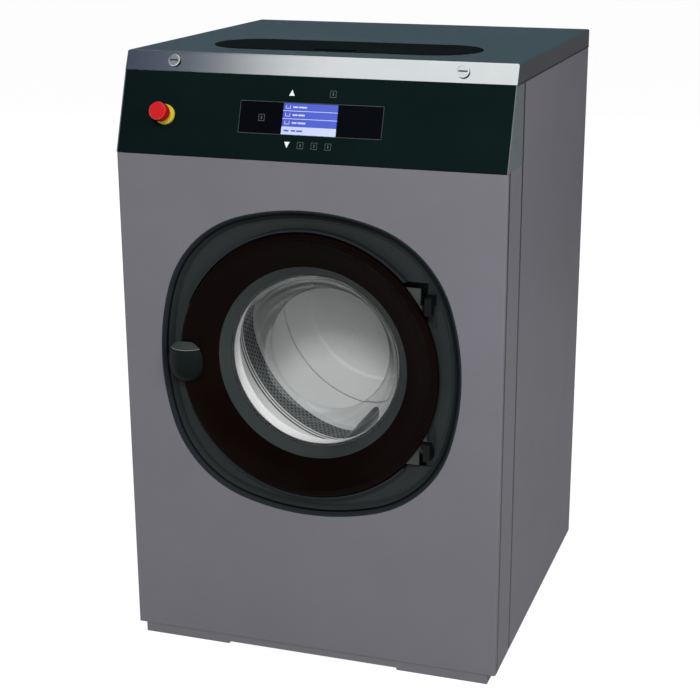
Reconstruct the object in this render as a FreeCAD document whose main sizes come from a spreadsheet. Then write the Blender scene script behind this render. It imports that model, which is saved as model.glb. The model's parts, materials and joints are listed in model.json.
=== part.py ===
import FreeCAD, Part
import math
import os
import re
import Sketcher

# Front-loading washer-extractor for a laundry room: a bolted-down cabinet with a round door.
# Millimetres, +Z up, front towards -Y, origin on the floor under the middle of the cabinet.

Vector = FreeCAD.Vector
Rotation = FreeCAD.Rotation
Placement = FreeCAD.Placement

SIZES = {
    # Cabinet
    "cab_w": 795,
    "cab_d": 774,
    "cab_h": 1243,
    "base_h": 22,
    "top_drop": 193,
    "lip_drop": 37,
    "fascia_set": 56,
    "lip_set": 72,
    "post_d": 120,
    "sheet_t": 2,
    "bend_r": 4,
    "return_d": 14,
    "seam": 3,
    "sheet_gap": 1,
    # Base frame
    "skid_w": 193,
    "skid_inset": 17,
    "base_set": 2,
    "base_plate_t": 4,
    "plinth_gap": 5,
    "rail_w": 70,
    "anchor_x": 580,
    "anchor_y": 600,
    "anchor_r": 8.5,
    # Door surround
    "surround_half": 316.5,
    "surround_corner_at": 75,
    "surround_corner_r": 230.4,
    "surround_depth": 19,
    "surround_taper": 16,
    "surround_t": 3,
    "surround_flange": 14,
    "surround_bore_r": 246,
    "cord_w": 4,
    "cord_d": 1.8,
    "hinge_slot_x": 190,
    "hinge_slot_low": 100,
    "hinge_slot_high": 188,
    "collar_gap": 3,
    "collar_t": 4,
    "collar_rise": 2,
    "collar_open": 110,
    "latch_slot_w": 50,
    "latch_slot_h": 34,
    # Door
    "ring_r": 272,
    "ring_proud": 10,
    "ring_edge": 14,
    "ring_round": 6,
    "ring_t": 12,
    "funnel_r": 200,
    "funnel_depth": 23,
    "funnel_curve": 130,
    "skirt_r": 236,
    "skirt_t": 4.5,
    "door_depth": 46,
    "back_ring_t": 4,
    "glass_r": 180,
    "glass_seat": 18,
    "glass_lap": 7,
    "frame_edge": 1,
    "glass_t": 5,
    "bowl_floor_r": 132,
    "bowl_depth": 92,
    "bowl_curve": 130,
    # Door hinge
    "hinge_x": 250,
    "hinge_proud": 6,
    "pin_r": 4,
    "knuckle_r": 8,
    "knuckle_low": 131,
    "knuckle_h": 16,
    "ear_h": 18,
    "leaf_t": 5,
    "leaf_x": 184,
    "leaf_edge_x": 232,
    "leaf_half_h": 180,
    "leaf_low": 108,
    "bracket_t": 6,
    "bracket_half_h": 205,
    "bracket_foot": 34,
    # Handle and latch
    "handle_x": -258,
    "handle_drop": 8,
    "handle_w": 76,
    "handle_h": 86,
    "handle_round": 2.4,
    "handle_brow": 0.66,
    "handle_tip": 0.97,
    "thumb_lean": 0.5,
    "handle_proud": 35,
    "handle_back": 12.6,
    "handle_pivot_x": -236,
    "handle_pivot_y": -16,
    "handle_lug_r": 4.5,
    "handle_lug_h": 8,
    "handle_lug_at": 4,
    "handle_lug_room": 1.35,
    "handle_pin_r": 2.5,
    "hook_x": -266,
    "hook_w": 7,
    "hook_h": 20,
    "hook_reach": 58,
    "lock_w": 62,
    "lock_h": 96,
    "lock_d": 42,
    # Fascia and its controls
    "overlay_t": 3,
    "lcd_x": 1,
    "lcd_along": 83,
    "lcd_w": 111,
    "lcd_h": 61,
    "lcd_t": 9,
    "bezel": 7,
    "board_w": 300,
    "board_h": 110,
    "board_t": 2,
    "board_gap": 26,
    "board_post_r": 4,
    "stop_x": -300,
    "stop_along": 79,
    "stop_collar_r": 20,
    "stop_collar_h": 10,
    "stop_neck_r": 11,
    "stop_stem_r": 7,
    "stop_head_r": 18,
    "stop_head_at": 17,
    "stop_head_h": 23,
    "stop_round": 3,
    "stop_pin_r": 4,
    "stop_pin_l": 12,
    "stop_neck_l": 24,
    "stop_block_w": 34,
    "stop_block_d": 30,
    "stop_travel": 6,
    "lock_x": 293,
    "lock_along": 21,
    "cam_head_r": 12,
    "cam_head_h": 5.5,
    "cam_edge": 1,
    "cam_washer": 1.2,
    "cam_neck_r": 10.5,
    "cam_neck_l": 14,
    "cam_slot_w": 2.6,
    "cam_slot_d": 1.6,
    "cam_w": 14,
    "cam_t": 3,
    "cam_plug_r": 8,
    "cam_depth": 22,
    "cam_arm": 26,
    # Soap hopper and lid
    "hopper_y": 253,
    "hopper_w": 563,
    "hopper_l": 190,
    "hopper_depth": 110,
    "hopper_wall": 3,
    "lid_t": 12,
    "lid_gap": 1.2,
    "lid_proud": 1,
    "lid_grip_w": 90,
    "lid_grip_l": 20,
    "ledge_w": 8,
    "cup_gap": 110,
    "lid_pin_r": 2.5,
    "lug_w": 16,
    "lug_r": 4.5,
    "lug_x": 120,
    "spout_r": 30,
    # Tub and drum
    "tub_low": 280,
    "tub_side_gap": 37.5,
    "tub_top_gap": 25,
    "tub_front": 70,
    "spider_room": 30,
    "tub_t": 3,
    "neck_r": 205,
    "neck_l": 16,
    "gasket_t": 8,
    "seal_r": 44,
    "drum_gap": 35,
    "drum_front": 85,
    "drum_depth": 415,
    "drum_t": 2,
    "mouth_r": 197,
    "mouth_l": 30,
    "lip_r": 4,
    "lifter_h": 62,
    "lifter_w": 84,
    "lifter_top": 26,
    "lifter_t": 2,
    "swage_r": 180,
    "swage_w": 60,
    "swage_d": 6,
    "spider_t": 14,
    "spider_arm": 52,
    "sump_r": 42,
    "sump_y": 300,
    "sump_l": 26,
    # Shaft, bearings and belt drive
    "shaft_r": 30,
    "bearing_r": 52,
    "bearing_w": 28,
    "housing_r": 70,
    "housing_flange_r": 130,
    "housing_flange_t": 14,
    "housing_full": 112,
    "housing_gap": 10,
    "rear_gap": 12,
    "stand_t": 12,
    "stand_half": 330,
    "stand_leg": 100,
    "stand_head": 190,
    "stand_rise": 220,
    "arch_top": 290,
    "pulley_r": 190,
    "pulley_w": 40,
    "groove_d": 11,
    "groove_w": 13,
    "belt_t": 10,
    "motor_x": 110,
    "motor_z": 165,
    "motor_r": 85,
    "motor_l": 235,
    "motor_gap": 16,
    "motor_shaft_r": 14,
    "motor_pulley_r": 46,
    # Water and drain
    "service_half": 220,
    "service_low": 240,
    "vent_l": 200,
    "vent_h": 6,
    "vent_gap": 24,
    "inlet_x": 150,
    "inlet_drop": 78,
    "inlet_gap": 90,
    "inlet_r": 13.2,
    "inlet_neck_r": 15,
    "inlet_nut_r": 19,
    "inlet_nut_t": 6,
    "rear_reach": 35,
    "hose_r": 9,
    "valve_w": 58,
    "drain_x": -120,
    "drain_z": 118,
    "drain_r": 38,
    "pipe_t": 3,
    "gland_x": -250,
    "gland_r": 16,
    "gland_bore_r": 10,
    # Fits
    "play": 0.3,
    "run_fit": 0.05,
}

# Sizes that follow from the ones above
LINKED = {
    "panel_top": "cab_h - top_drop",
    "lip_z": "cab_h - lip_drop",
    "inlet_z": "cab_h - inlet_drop",
    "tub_r": "min(cab_w / 2 - tub_side_gap; (panel_top - tub_low) / 2 - tub_top_gap)",
    "door_z": "tub_low + tub_r",
    "drum_r": "tub_r - drum_gap",
    "tub_back": "drum_front + drum_depth + spider_room",
    "housing_l": "min(housing_full; cab_d - rear_gap - pulley_w - housing_gap - stand_t - tub_back)",
    "pulley_at": "tub_back + stand_t + housing_l + housing_gap",
    "stand_top": "door_z + stand_rise",
}

doc = FreeCAD.newDocument("washer")
sheet = doc.addObject("Spreadsheet::Sheet", "dims")
for row, (alias, size) in enumerate([*SIZES.items(), *LINKED.items()], 1):
    sheet.set(f"A{row}", alias)
    sheet.set(f"B{row}", f"={size}")
    sheet.setAlias(f"B{row}", alias)
doc.recompute()

# Places that many pieces share
FRONT = "(-cab_d / 2)"
REAR = "(cab_d / 2)"
SIDE = "(cab_w / 2)"
TURN = {
    "x": Rotation(Vector(0, 1, 0), 90),
    "y": Rotation(Vector(1, 0, 0), -90),
    "z": Rotation(),
}
nodes = []


def formula(text):
    """Point every size named in the text at its cell in the sheet."""
    return re.sub(r"\b([a-z]\w*)\b(?!\()", r"dims.\1", str(text))


def value(text):
    """The number that a formula gives now."""
    return float(sheet.evalExpression(formula(text)))


def point(x, y, z):
    return Vector(value(x), value(y), value(z))


def bind(item, prop, text):
    item.setExpression(prop, formula(text))


def place(item, corner, turn=None):
    """Set an object's place by formulas and its turn by a rotation, or by a placement alone."""
    if isinstance(corner, Placement):
        item.Placement = corner
        return item
    item.Placement = Placement(point(*corner), turn or Rotation())
    for axis, text in zip("xyz", corner):
        bind(item, f".Placement.Base.{axis}", text)
    return item


def node(item, name):
    """Keep a finished piece under the name of its file."""
    item.Label = name
    nodes.append(item)
    return item


def box(name, size, corner):
    item = doc.addObject("Part::Box", name)
    for prop, text in zip(("Length", "Width", "Height"), size):
        bind(item, prop, text)
    return place(item, corner)


def rod(name, radius, length, start, axis="z"):
    item = doc.addObject("Part::Cylinder", name)
    bind(item, "Radius", radius)
    bind(item, "Height", length)
    return place(item, start, TURN[axis])


def fuse(name, *items):
    item = doc.addObject("Part::MultiFuse", name)
    item.Shapes = list(items)
    return item


def cut(name, base, *tools):
    item = doc.addObject("Part::Cut", name)
    item.Base = base
    item.Tool = tools[0] if len(tools) == 1 else fuse(f"{name}_tools", *tools)
    return item


def group(name, *items):
    """Like pieces kept together as one node of separate solids."""
    item = doc.addObject("Part::Compound", name)
    item.Links = list(items)
    return item


def solid(name, shape):
    """A piece made from faces that no ready feature gives."""
    item = doc.addObject("Part::Feature", name)
    item.Shape = shape
    return item


def sketch_on(body, plane, corners):
    """A closed outline: each corner is (u, v), with a radius and a turn where an arc starts."""
    sketch = body.newObject("Sketcher::SketchObject", f"{body.Name}_outline")
    support = [f for f in body.Origin.OriginFeatures if f.Role == plane][0]
    sketch.AttachmentSupport = [(support, "")]
    sketch.MapMode = "FlatFace"
    ends = []
    for index, corner in enumerate(corners):
        after = corners[(index + 1) % len(corners)]
        start = Vector(value(corner[0]), value(corner[1]), 0)
        end = Vector(value(after[0]), value(after[1]), 0)
        if len(corner) == 2:
            sketch.addGeometry(Part.LineSegment(start, end))
            ends.append((1, 2))
            continue
        radius, turn = value(corner[2]), corner[3]
        chord = end - start
        sideways = Vector(-chord.y, chord.x, 0).normalize() * turn
        middle = (start + end) * 0.5
        centre = middle + sideways * math.sqrt(max(radius ** 2 - chord.Length ** 2 / 4, 0))
        first, last = (start, end) if turn > 0 else (end, start)
        angles = [math.atan2(p.y - centre.y, p.x - centre.x) for p in (first, last)]
        circle = Part.Circle(centre, Vector(0, 0, 1), radius)
        sketch.addGeometry(Part.ArcOfCircle(circle, *angles))
        ends.append((1, 2) if turn > 0 else (2, 1))
    for index, corner in enumerate(corners):
        before = (index - 1) % len(corners)
        joined = (before, ends[before][1], index, ends[index][0])
        sketch.addConstraint(Sketcher.Constraint("Coincident", *joined))
        for kind, text in zip(("DistanceX", "DistanceY"), corner):
            rule = Sketcher.Constraint(kind, -1, 1, index, ends[index][0], value(text))
            bind(sketch, f"Constraints[{sketch.addConstraint(rule)}]", text)
        if len(corner) > 2:
            rule = Sketcher.Constraint("Radius", index, value(corner[2]))
            bind(sketch, f"Constraints[{sketch.addConstraint(rule)}]", corner[2])
    return sketch


def pad(name, plane, corners, length, corner=("0", "0", "0"), turn=None):
    """An outline pushed along +Z, +Y or +X, whichever its plane faces."""
    body = doc.addObject("PartDesign::Body", name)
    feature = body.newObject("PartDesign::Pad", f"{name}_pad")
    feature.Profile = sketch_on(body, plane, corners)
    feature.Reversed = plane == "XZ_Plane"
    bind(feature, "Length", length)
    return place(body, corner, turn)


def lathe(name, corners, corner, plane="XY_Plane", turn=None):
    """An outline of (radius, along) turned about the Y axis, or about Z from the XZ plane."""
    body = doc.addObject("PartDesign::Body", name)
    sketch = sketch_on(body, plane, corners)
    feature = body.newObject("PartDesign::Revolution", f"{name}_turned")
    feature.Profile = sketch
    feature.ReferenceAxis = (sketch, ["V_Axis"])
    return place(body, corner, turn)


def tube(name, outer, inner, length, start, axis="z"):
    """A round pipe with both ends open."""
    return cut(name, rod(f"{name}_outer", outer, length, start, axis),
               rod(f"{name}_inner", inner, length, start, axis))


def pill(name, width, depth, height, centre):
    """A block with two half-round ends, long way across."""
    x, y, z = centre
    straight = f"({width}) - ({depth})"
    middle = box(f"{name}_middle", (straight, depth, height),
                 (f"{x} - ({straight}) / 2", f"{y} - ({depth}) / 2", z))
    ends = [rod(f"{name}_end_{s}", f"({depth}) / 2", height, (f"{x} {s} ({straight}) / 2", y, z))
            for s in "+-"]
    return fuse(name, middle, *ends)


def channel(name, width, depth, height, corner, turn=0):
    """A folded sheet: a flat face in front and a return at each side, with round bends."""
    half = f"({width}) / 2"
    inner = "bend_r - sheet_t"
    return pad(name, "XY_Plane", [
        (f"-{half}", depth),
        (f"-{half}", "bend_r", "bend_r", 1),
        (f"-{half} + bend_r", "0"),
        (f"{half} - bend_r", "0", "bend_r", 1),
        (half, "bend_r"),
        (half, depth),
        (f"{half} - sheet_t", depth),
        (f"{half} - sheet_t", "bend_r", inner, -1),
        (f"{half} - bend_r", "sheet_t"),
        (f"-{half} + bend_r", "sheet_t", inner, -1),
        (f"-{half} + sheet_t", "bend_r"),
        (f"-{half} + sheet_t", depth),
    ], height, corner, Rotation(Vector(0, 0, 1), turn))


def round_edges(body, radius, chosen):
    """Round the edges of a body that the test picks out."""
    doc.recompute()
    tip = body.Tip
    names = [f"Edge{i}" for i, edge in enumerate(tip.Shape.Edges, 1) if chosen(edge)]
    feature = body.newObject("PartDesign::Fillet", f"{body.Name}_round")
    feature.Base = (tip, names)
    bind(feature, "Radius", radius)
    return body


def leaning(y, z, back, rise):
    """A place on a face that leans back: X across, Y up the face, Z out of it."""
    lean = math.degrees(math.atan2(value(back), value(rise)))
    return Placement(point("0", y, z), Rotation(Vector(1, 0, 0), 90 - lean))


def spot(face, x, along, out):
    """A point of such a face, turned with it."""
    return face.multiply(Placement(point(x, along, out), Rotation()))


def face_box(name, face, width, height, x, along, out, depth):
    """A block that is centred on a spot of a leaning face."""
    corner = spot(face, f"{x} - ({width}) / 2", f"{along} - ({height}) / 2", out)
    return box(name, (width, height, depth), corner)


SLANT = "sqrt(1 + (fascia_set / (lip_z - panel_top)) ^ 2)"
FASCIA = leaning(FRONT, "panel_top", "fascia_set", "lip_z - panel_top")
LIP = leaning(f"{FRONT} + fascia_set", "lip_z", "lip_set - fascia_set", "cab_h - lip_z")


def slope_y(z, back):
    """The depth of the fascia's plane at a height, moved back by a thickness."""
    return f"{FRONT} + fascia_set * (({z}) - panel_top) / (lip_z - panel_top) + ({back}) * {SLANT}"


def squircle(grow, y):
    """The surround's outline at depth y: four corner arcs and four flatter side arcs, tangent."""
    at, radius = value("surround_corner_at"), value("surround_corner_r")
    short = value("surround_half") - radius
    past = (2 * at ** 2 - short ** 2) / (2 * (short - at))
    side_r = value("surround_half") + past + grow
    reach = math.hypot(at + past, at)
    tangent_x = side_r * (at + past) / reach - past
    tangent_z = side_r * at / reach
    diagonal = at + (radius + grow) * math.sqrt(0.5)
    points = [(tangent_x, -tangent_z), (side_r - past, 0), (tangent_x, tangent_z),
              (diagonal, diagonal), (tangent_z, tangent_x)]
    edges = []
    for quarter in range(4):
        spin = Rotation(Vector(0, -1, 0), 90 * quarter)
        p = [spin.multVec(Vector(x, 0, z)) + point("0", y, "door_z") for x, z in points]
        edges.append(Part.Arc(p[0], p[1], p[2]).toShape())
        edges.append(Part.Arc(p[2], p[3], p[4]).toShape())
    return Part.Wire(Part.__sortEdges__(edges))


def squircle_block(grow, y, length):
    return Part.Face(squircle(grow, y)).extrude(Vector(0, value(length), 0))


# Base frame: two open skids, a plinth front and rear, and a rail under the motor
def base_frame():
    length = "cab_d - 2 * base_set"
    start = f"{FRONT} + base_set"
    shapes, hollows = [], []
    for name, x in (("left", f"-{SIDE} + skid_inset"), ("right", f"{SIDE} - skid_inset - skid_w")):
        shapes.append(box(f"{name}_skid", ("skid_w", length, "base_h"), (x, start, "0")))
        hollows.append(box(f"{name}_skid_hollow",
                           ("skid_w - 2 * base_plate_t", f"{length} - 2 * base_plate_t",
                            "base_h - base_plate_t"),
                           (f"{x} + base_plate_t", f"{start} + base_plate_t", "0")))
    span = "cab_w - 2 * skid_inset - 2 * skid_w"
    across = f"-({span}) / 2"
    for name, y in (("front", start), ("rear", f"{REAR} - base_set - base_plate_t")):
        shapes.append(box(f"{name}_plinth", (span, "base_plate_t", "base_h - plinth_gap"),
                          (across, y, "plinth_gap")))
    for name, y in (("front", "tub_back - motor_l / 2 - rail_w"), ("rear", "tub_back + rail_w / 2")):
        shapes.append(box(f"{name}_rail", (span, "rail_w", "base_h - plinth_gap"),
                          (across, f"{FRONT} + {y}", "plinth_gap")))
    frame = fuse("base_weldment", *shapes)
    holes = [rod(f"anchor_hole_{i}", "anchor_r", "2 * base_h",
                 (f"{x} * anchor_x / 2", f"{y} * anchor_y / 2", "-base_h / 2"))
             for i, (x, y) in enumerate(((1, 1), (1, -1), (-1, 1), (-1, -1)))]
    node(cut("base", frame, *hollows, *holes), "base_frame")


# Sheet panels of the cabinet
def cabinet():
    face_h = "panel_top - sheet_gap - base_h"
    front = channel("front_sheet", "cab_w", "return_d", face_h, ("0", FRONT, "base_h"))
    hole = solid("front_hole", squircle_block(value("play"), f"{FRONT} - sheet_t", "3 * sheet_t"))
    node(cut("front", front, hole), "front_panel")
    post_l = "post_d - return_d - seam"
    post_y = f"{FRONT} + return_d + seam + ({post_l}) / 2"
    side_l = "cab_d - post_d - seam"
    side_y = f"{REAR} - ({side_l}) / 2"
    side_h = "lip_z - base_h"
    post_h = "panel_top - play - base_h"
    for name, sign, turn in (("left", "-", -90), ("right", "", 90)):
        x = f"{sign}{SIDE}"
        node(channel(f"{name}_post", post_l, "2 * return_d", post_h, (x, post_y, "base_h"), turn),
             f"{name}_corner_post")
        node(channel(f"{name}_side", side_l, "return_d", side_h, (x, side_y, "base_h"), turn),
             f"{name}_side_panel")


# Rear wall with the service cover over the belt drive
def rear_wall():
    width = "cab_w - 2 * return_d - 2 * play"
    sheet_y = f"{REAR} - sheet_t"
    start = f"{sheet_y} - sheet_t"
    wall = box("rear_sheet", (width, "sheet_t", "lip_z - base_h"), (f"-({width}) / 2", sheet_y, "base_h"))
    height = "door_z + service_half - service_low"
    cuts = [box("service_hole", ("2 * service_half", "4 * sheet_t", height),
                ("-service_half", start, "service_low"))]
    holes = [("cold", "inlet_neck_r", "inlet_x", "inlet_z"),
             ("hot", "inlet_neck_r", "inlet_x - inlet_gap", "inlet_z"),
             ("gland", "gland_r", "gland_x", "inlet_z"),
             ("drain", "drain_r + pipe_t", "drain_x", "drain_z")]
    for name, radius, x, z in holes:
        cuts.append(rod(f"{name}_hole", f"{radius} + play", "4 * sheet_t", (x, start, z), "y"))
    node(cut("rear", wall, *cuts), "rear_panel")
    cover = box("cover_sheet", ("2 * service_half + 2 * return_d", "sheet_t", f"{height} + 2 * return_d"),
                ("-service_half - return_d", REAR, "service_low - return_d"))
    slots = [box(f"vent_{i}", ("vent_l", "3 * sheet_t", "vent_h"),
                 ("-vent_l / 2", f"{REAR} - sheet_t", f"service_low + {i + 1} * vent_gap"))
             for i in range(6)]
    node(cut("cover", cover, *slots), "rear_service_cover")


# Top cover: a stainless tray with a sloped front lip and the hopper opening
def top_cover():
    def tray(name, wall, drop, x):
        body = pad(name, "YZ_Plane", [
            (f"{FRONT} + fascia_set + {wall} - {drop} * (lip_set - fascia_set) / (cab_h - lip_z)",
             f"lip_z - {drop}"),
            (f"{REAR} - {wall}", f"lip_z - {drop}"),
            (f"{REAR} - {wall}", f"cab_h - {wall}"),
            (f"{FRONT} + lip_set + {wall}", f"cab_h - {wall}"),
        ], f"cab_w - 2 * {wall}", (x, "0", "0"))
        return body
    outer = tray("top_outer", "0", "0", f"-{SIDE}")
    top = value("cab_h") - 0.01
    round_edges(outer, "bend_r", lambda edge: edge.BoundBox.ZMin > top)
    inner = tray("top_inner", "sheet_t", "1", f"-{SIDE} + sheet_t")
    mouth = pill("top_mouth", "hopper_w", "hopper_l", "4 * sheet_t",
                 ("0", f"{FRONT} + hopper_y", "cab_h - 3 * sheet_t"))
    bores = [rod(f"lip_bore_{i}", "cam_neck_r + play", "6 * sheet_t",
                 spot(LIP, f"{i} * lock_x", "lock_along", "-3 * sheet_t")) for i in (-1, 1)]
    node(cut("top", outer, inner, mouth, *bores), "top_cover")


# Control chassis: the leaning wedge with steel cheeks that carries the fascia
def control_chassis():
    low, high = "panel_top", "lip_z - sheet_gap"

    def wedge(name, ahead, behind, z0, z1, rear, inset):
        return pad(name, "YZ_Plane", [
            (slope_y(z0, ahead), z0),
            (behind or slope_y(z0, rear), z0),
            (behind or slope_y(z1, rear), z1),
            (slope_y(z1, ahead), z1),
        ], f"cab_w - 2 * {inset}", (f"-{SIDE} + {inset}", "0", "0"))
    back = f"{FRONT} + post_d"
    shell = wedge("chassis_shell", "0", back, low, high, "0", "0")
    room = wedge("chassis_room", "overlay_t + sheet_t", f"{back} + seam", f"{low} + sheet_t",
                 f"{high} + seam", "0", "sheet_t")
    recess = wedge("chassis_recess", "-2 * overlay_t", None, f"{low} - seam", f"{high} + seam",
                   "overlay_t", "sheet_t")
    window = face_box("chassis_window", FASCIA, "lcd_w + 2 * bezel + 2 * play",
                      "lcd_h + 2 * bezel + 2 * play", "lcd_x", "lcd_along", "-4 * overlay_t", "6 * overlay_t")
    bore = rod("chassis_bore", "stop_neck_r + play", "6 * overlay_t",
               spot(FASCIA, "stop_x", "stop_along", "-4 * overlay_t"))
    posts = [rod(f"board_post_{i}", "board_post_r", "board_gap",
                 spot(FASCIA, f"lcd_x + {x} * (board_w / 2 - 2 * board_post_r)",
                      f"lcd_along + {y} * (board_h / 2 - 2 * board_post_r)",
                      "-overlay_t - sheet_t - board_gap"))
             for i, (x, y) in enumerate(((1, 1), (1, -1), (-1, 1), (-1, -1)))]
    bare = cut("chassis_bare", shell, room, recess, window, bore)
    node(fuse("chassis", bare, *posts), "control_chassis")
    sheet_low, sheet_high = f"{low} + play", f"{high} - play"
    plate = wedge("overlay_plate", "0", None, sheet_low, sheet_high, "overlay_t", "(sheet_t + play)")
    view = face_box("overlay_view", FASCIA, "lcd_w", "lcd_h", "lcd_x", "lcd_along",
                    "-4 * overlay_t", "6 * overlay_t")
    hole = rod("overlay_hole", "stop_neck_r + play", "6 * overlay_t",
               spot(FASCIA, "stop_x", "stop_along", "-4 * overlay_t"))
    node(cut("overlay", plate, view, hole), "fascia_overlay")
    glass = face_box("lcd_glass", FASCIA, "lcd_w - 2 * play", "lcd_h - 2 * play", "lcd_x", "lcd_along",
                     "-overlay_t", "overlay_t - play")
    case = face_box("lcd_case", FASCIA, "lcd_w + 2 * bezel", "lcd_h + 2 * bezel", "lcd_x", "lcd_along",
                    "-overlay_t - lcd_t", "lcd_t")
    node(fuse("lcd", glass, case), "display_module")
    node(face_box("board", FASCIA, "board_w", "board_h", "lcd_x", "lcd_along",
                  "-overlay_t - sheet_t - board_gap - board_t", "board_t"), "control_board")


# Emergency stop: collar and contact block stay, the stem is pushed, the head also twists
def emergency_stop():
    seat = spot(FASCIA, "stop_x", "stop_along", "0")
    bore = "stop_stem_r + play"
    node(lathe("stop_collar", [
        (bore, "-stop_neck_l"),
        ("stop_neck_r", "-stop_neck_l"),
        ("stop_neck_r", "0"),
        ("stop_collar_r", "0"),
        ("stop_collar_r", "stop_collar_h / 2"),
        ("stop_collar_r - stop_collar_h / 4", "stop_collar_h"),
        (bore, "stop_collar_h"),
    ], seat, "XZ_Plane"), "stop_collar")
    node(face_box("stop_block", FASCIA, "stop_block_w", "stop_block_w", "stop_x", "stop_along",
                  "-stop_neck_l - stop_block_d", "stop_block_d"), "stop_contact_block")
    tail = "-stop_neck_l + stop_travel + 2 * play"
    node(lathe("stop_stem", [
        ("0", tail),
        ("stop_stem_r", tail),
        ("stop_stem_r", "stop_head_at"),
        ("stop_pin_r", "stop_head_at"),
        ("stop_pin_r", "stop_head_at + stop_pin_l"),
        ("0", "stop_head_at + stop_pin_l"),
    ], seat, "XZ_Plane"), "stop_stem")
    crown = "stop_head_at + stop_head_h"
    node(lathe("stop_head", [
        ("stop_pin_r + run_fit", "stop_head_at"),
        ("stop_head_r - stop_round", "stop_head_at"),
        ("stop_head_r", "stop_head_at + stop_round"),
        ("stop_head_r", f"{crown} - stop_round", "stop_round", 1),
        ("stop_head_r - stop_round", crown),
        ("0", crown),
        ("0", "stop_head_at + stop_pin_l + play"),
        ("stop_pin_r + run_fit", "stop_head_at + stop_pin_l + play"),
    ], seat, "XZ_Plane"), "stop_head")


# Quarter-turn locks in the lip of the top cover: sleeves stay, each plug turns with its cam
def cam_locks():
    sleeves = []
    for name, sign in (("left", -1), ("right", 1)):
        seat = spot(LIP, f"{sign} * lock_x", "lock_along", "0")
        bore = "cam_plug_r + play"
        sleeves.append(lathe(f"{name}_sleeve", [
            (bore, "-cam_neck_l"),
            ("cam_neck_r", "-cam_neck_l"),
            ("cam_neck_r", "0"),
            ("cam_head_r", "0"),
            ("cam_head_r", "cam_washer"),
            (bore, "cam_washer"),
        ], seat, "XZ_Plane"))
        plug = lathe(f"{name}_plug_body", [
            ("0", "-cam_depth"),
            ("cam_plug_r", "-cam_depth"),
            ("cam_plug_r", "cam_washer + play"),
            ("cam_head_r", "cam_washer + play"),
            ("cam_head_r", "cam_head_h - cam_edge"),
            ("cam_head_r - cam_edge", "cam_head_h"),
            ("0", "cam_head_h"),
        ], seat, "XZ_Plane")
        slot = face_box(f"{name}_key_slot", LIP, "1.5 * cam_head_r", "cam_slot_w", f"{sign} * lock_x",
                        "lock_along", "cam_head_h - cam_slot_d", "2 * cam_slot_d")
        cam = face_box(f"{name}_cam", LIP, "cam_w", "cam_arm", f"{sign} * lock_x",
                       "lock_along + cam_w / 2 - cam_arm / 2", "-cam_depth - cam_t", "cam_t")
        node(fuse(f"{name}_lock", cut(f"{name}_plug", plug, slot), cam), f"{name}_cam_lock")
    node(group("sleeves", *sleeves), "lock_sleeves")


# Door surround: a moulded dish with a flange behind the sheet, a collar and a groove round its floor
def door_surround():
    def dish(grow, y, grow_deep, y_deep):
        return Part.makeLoft([squircle(grow, y), squircle(grow_deep, y_deep)], True, True)
    wall, taper = value("surround_t"), value("surround_taper")
    floor_y = f"{FRONT} + surround_depth"
    outer = dish(0, FRONT, -taper, f"{floor_y} + surround_t")
    inner = dish(-wall, FRONT, -taper - wall, floor_y)
    flange = squircle_block(value("surround_flange"), f"{FRONT} + sheet_t", "surround_t").cut(outer)
    edge, cord_w = -taper - wall - value("play"), value("cord_w")
    groove = squircle_block(edge, floor_y, "cord_d").cut(squircle_block(edge - cord_w, floor_y, "cord_d"))
    moulding = solid("surround_dish", outer.cut(inner).cut(groove).fuse(flange).removeSplitter())
    bore = rod("surround_bore", "surround_bore_r", "2 * surround_depth", ("0", FRONT, "door_z"), "y")
    slots = []
    for name, low in (("upper", "hinge_slot_low"), ("lower", "-hinge_slot_high")):
        slots.append(box(f"{name}_hinge_slot", ("hinge_x + knuckle_r + seam - hinge_slot_x",
                                                "2 * surround_t", "hinge_slot_high - hinge_slot_low"),
                         ("hinge_slot_x", f"{floor_y} - play", f"door_z + {low}")))
    slots.append(box("latch_slot", ("latch_slot_w", "2 * surround_t", "latch_slot_h"),
                     ("-surround_bore_r - latch_slot_w + seam", f"{floor_y} - play",
                      "door_z - latch_slot_h / 2")))
    collar = tube("surround_ridge", "ring_r + collar_gap + collar_t", "ring_r + collar_gap",
                  "surround_depth + collar_rise + surround_t / 2",
                  ("0", f"{FRONT} - collar_rise", "door_z"), "y")
    gaps = [box("collar_hinge_gap", ("ring_r", "2 * surround_depth", "2 * hinge_slot_high + 2 * seam"),
                ("ring_r / 2", f"{floor_y} - 2 * surround_depth", "door_z - hinge_slot_high - seam")),
            box("collar_handle_gap", ("ring_r", "2 * surround_depth", "2 * collar_open"),
                ("-1.5 * ring_r", f"{floor_y} - 2 * surround_depth", "door_z - collar_open"))]
    dressed = fuse("surround_with_collar", moulding, cut("surround_collar", collar, *gaps))
    node(cut("surround", dressed, bore, *slots), "door_surround")


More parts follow.
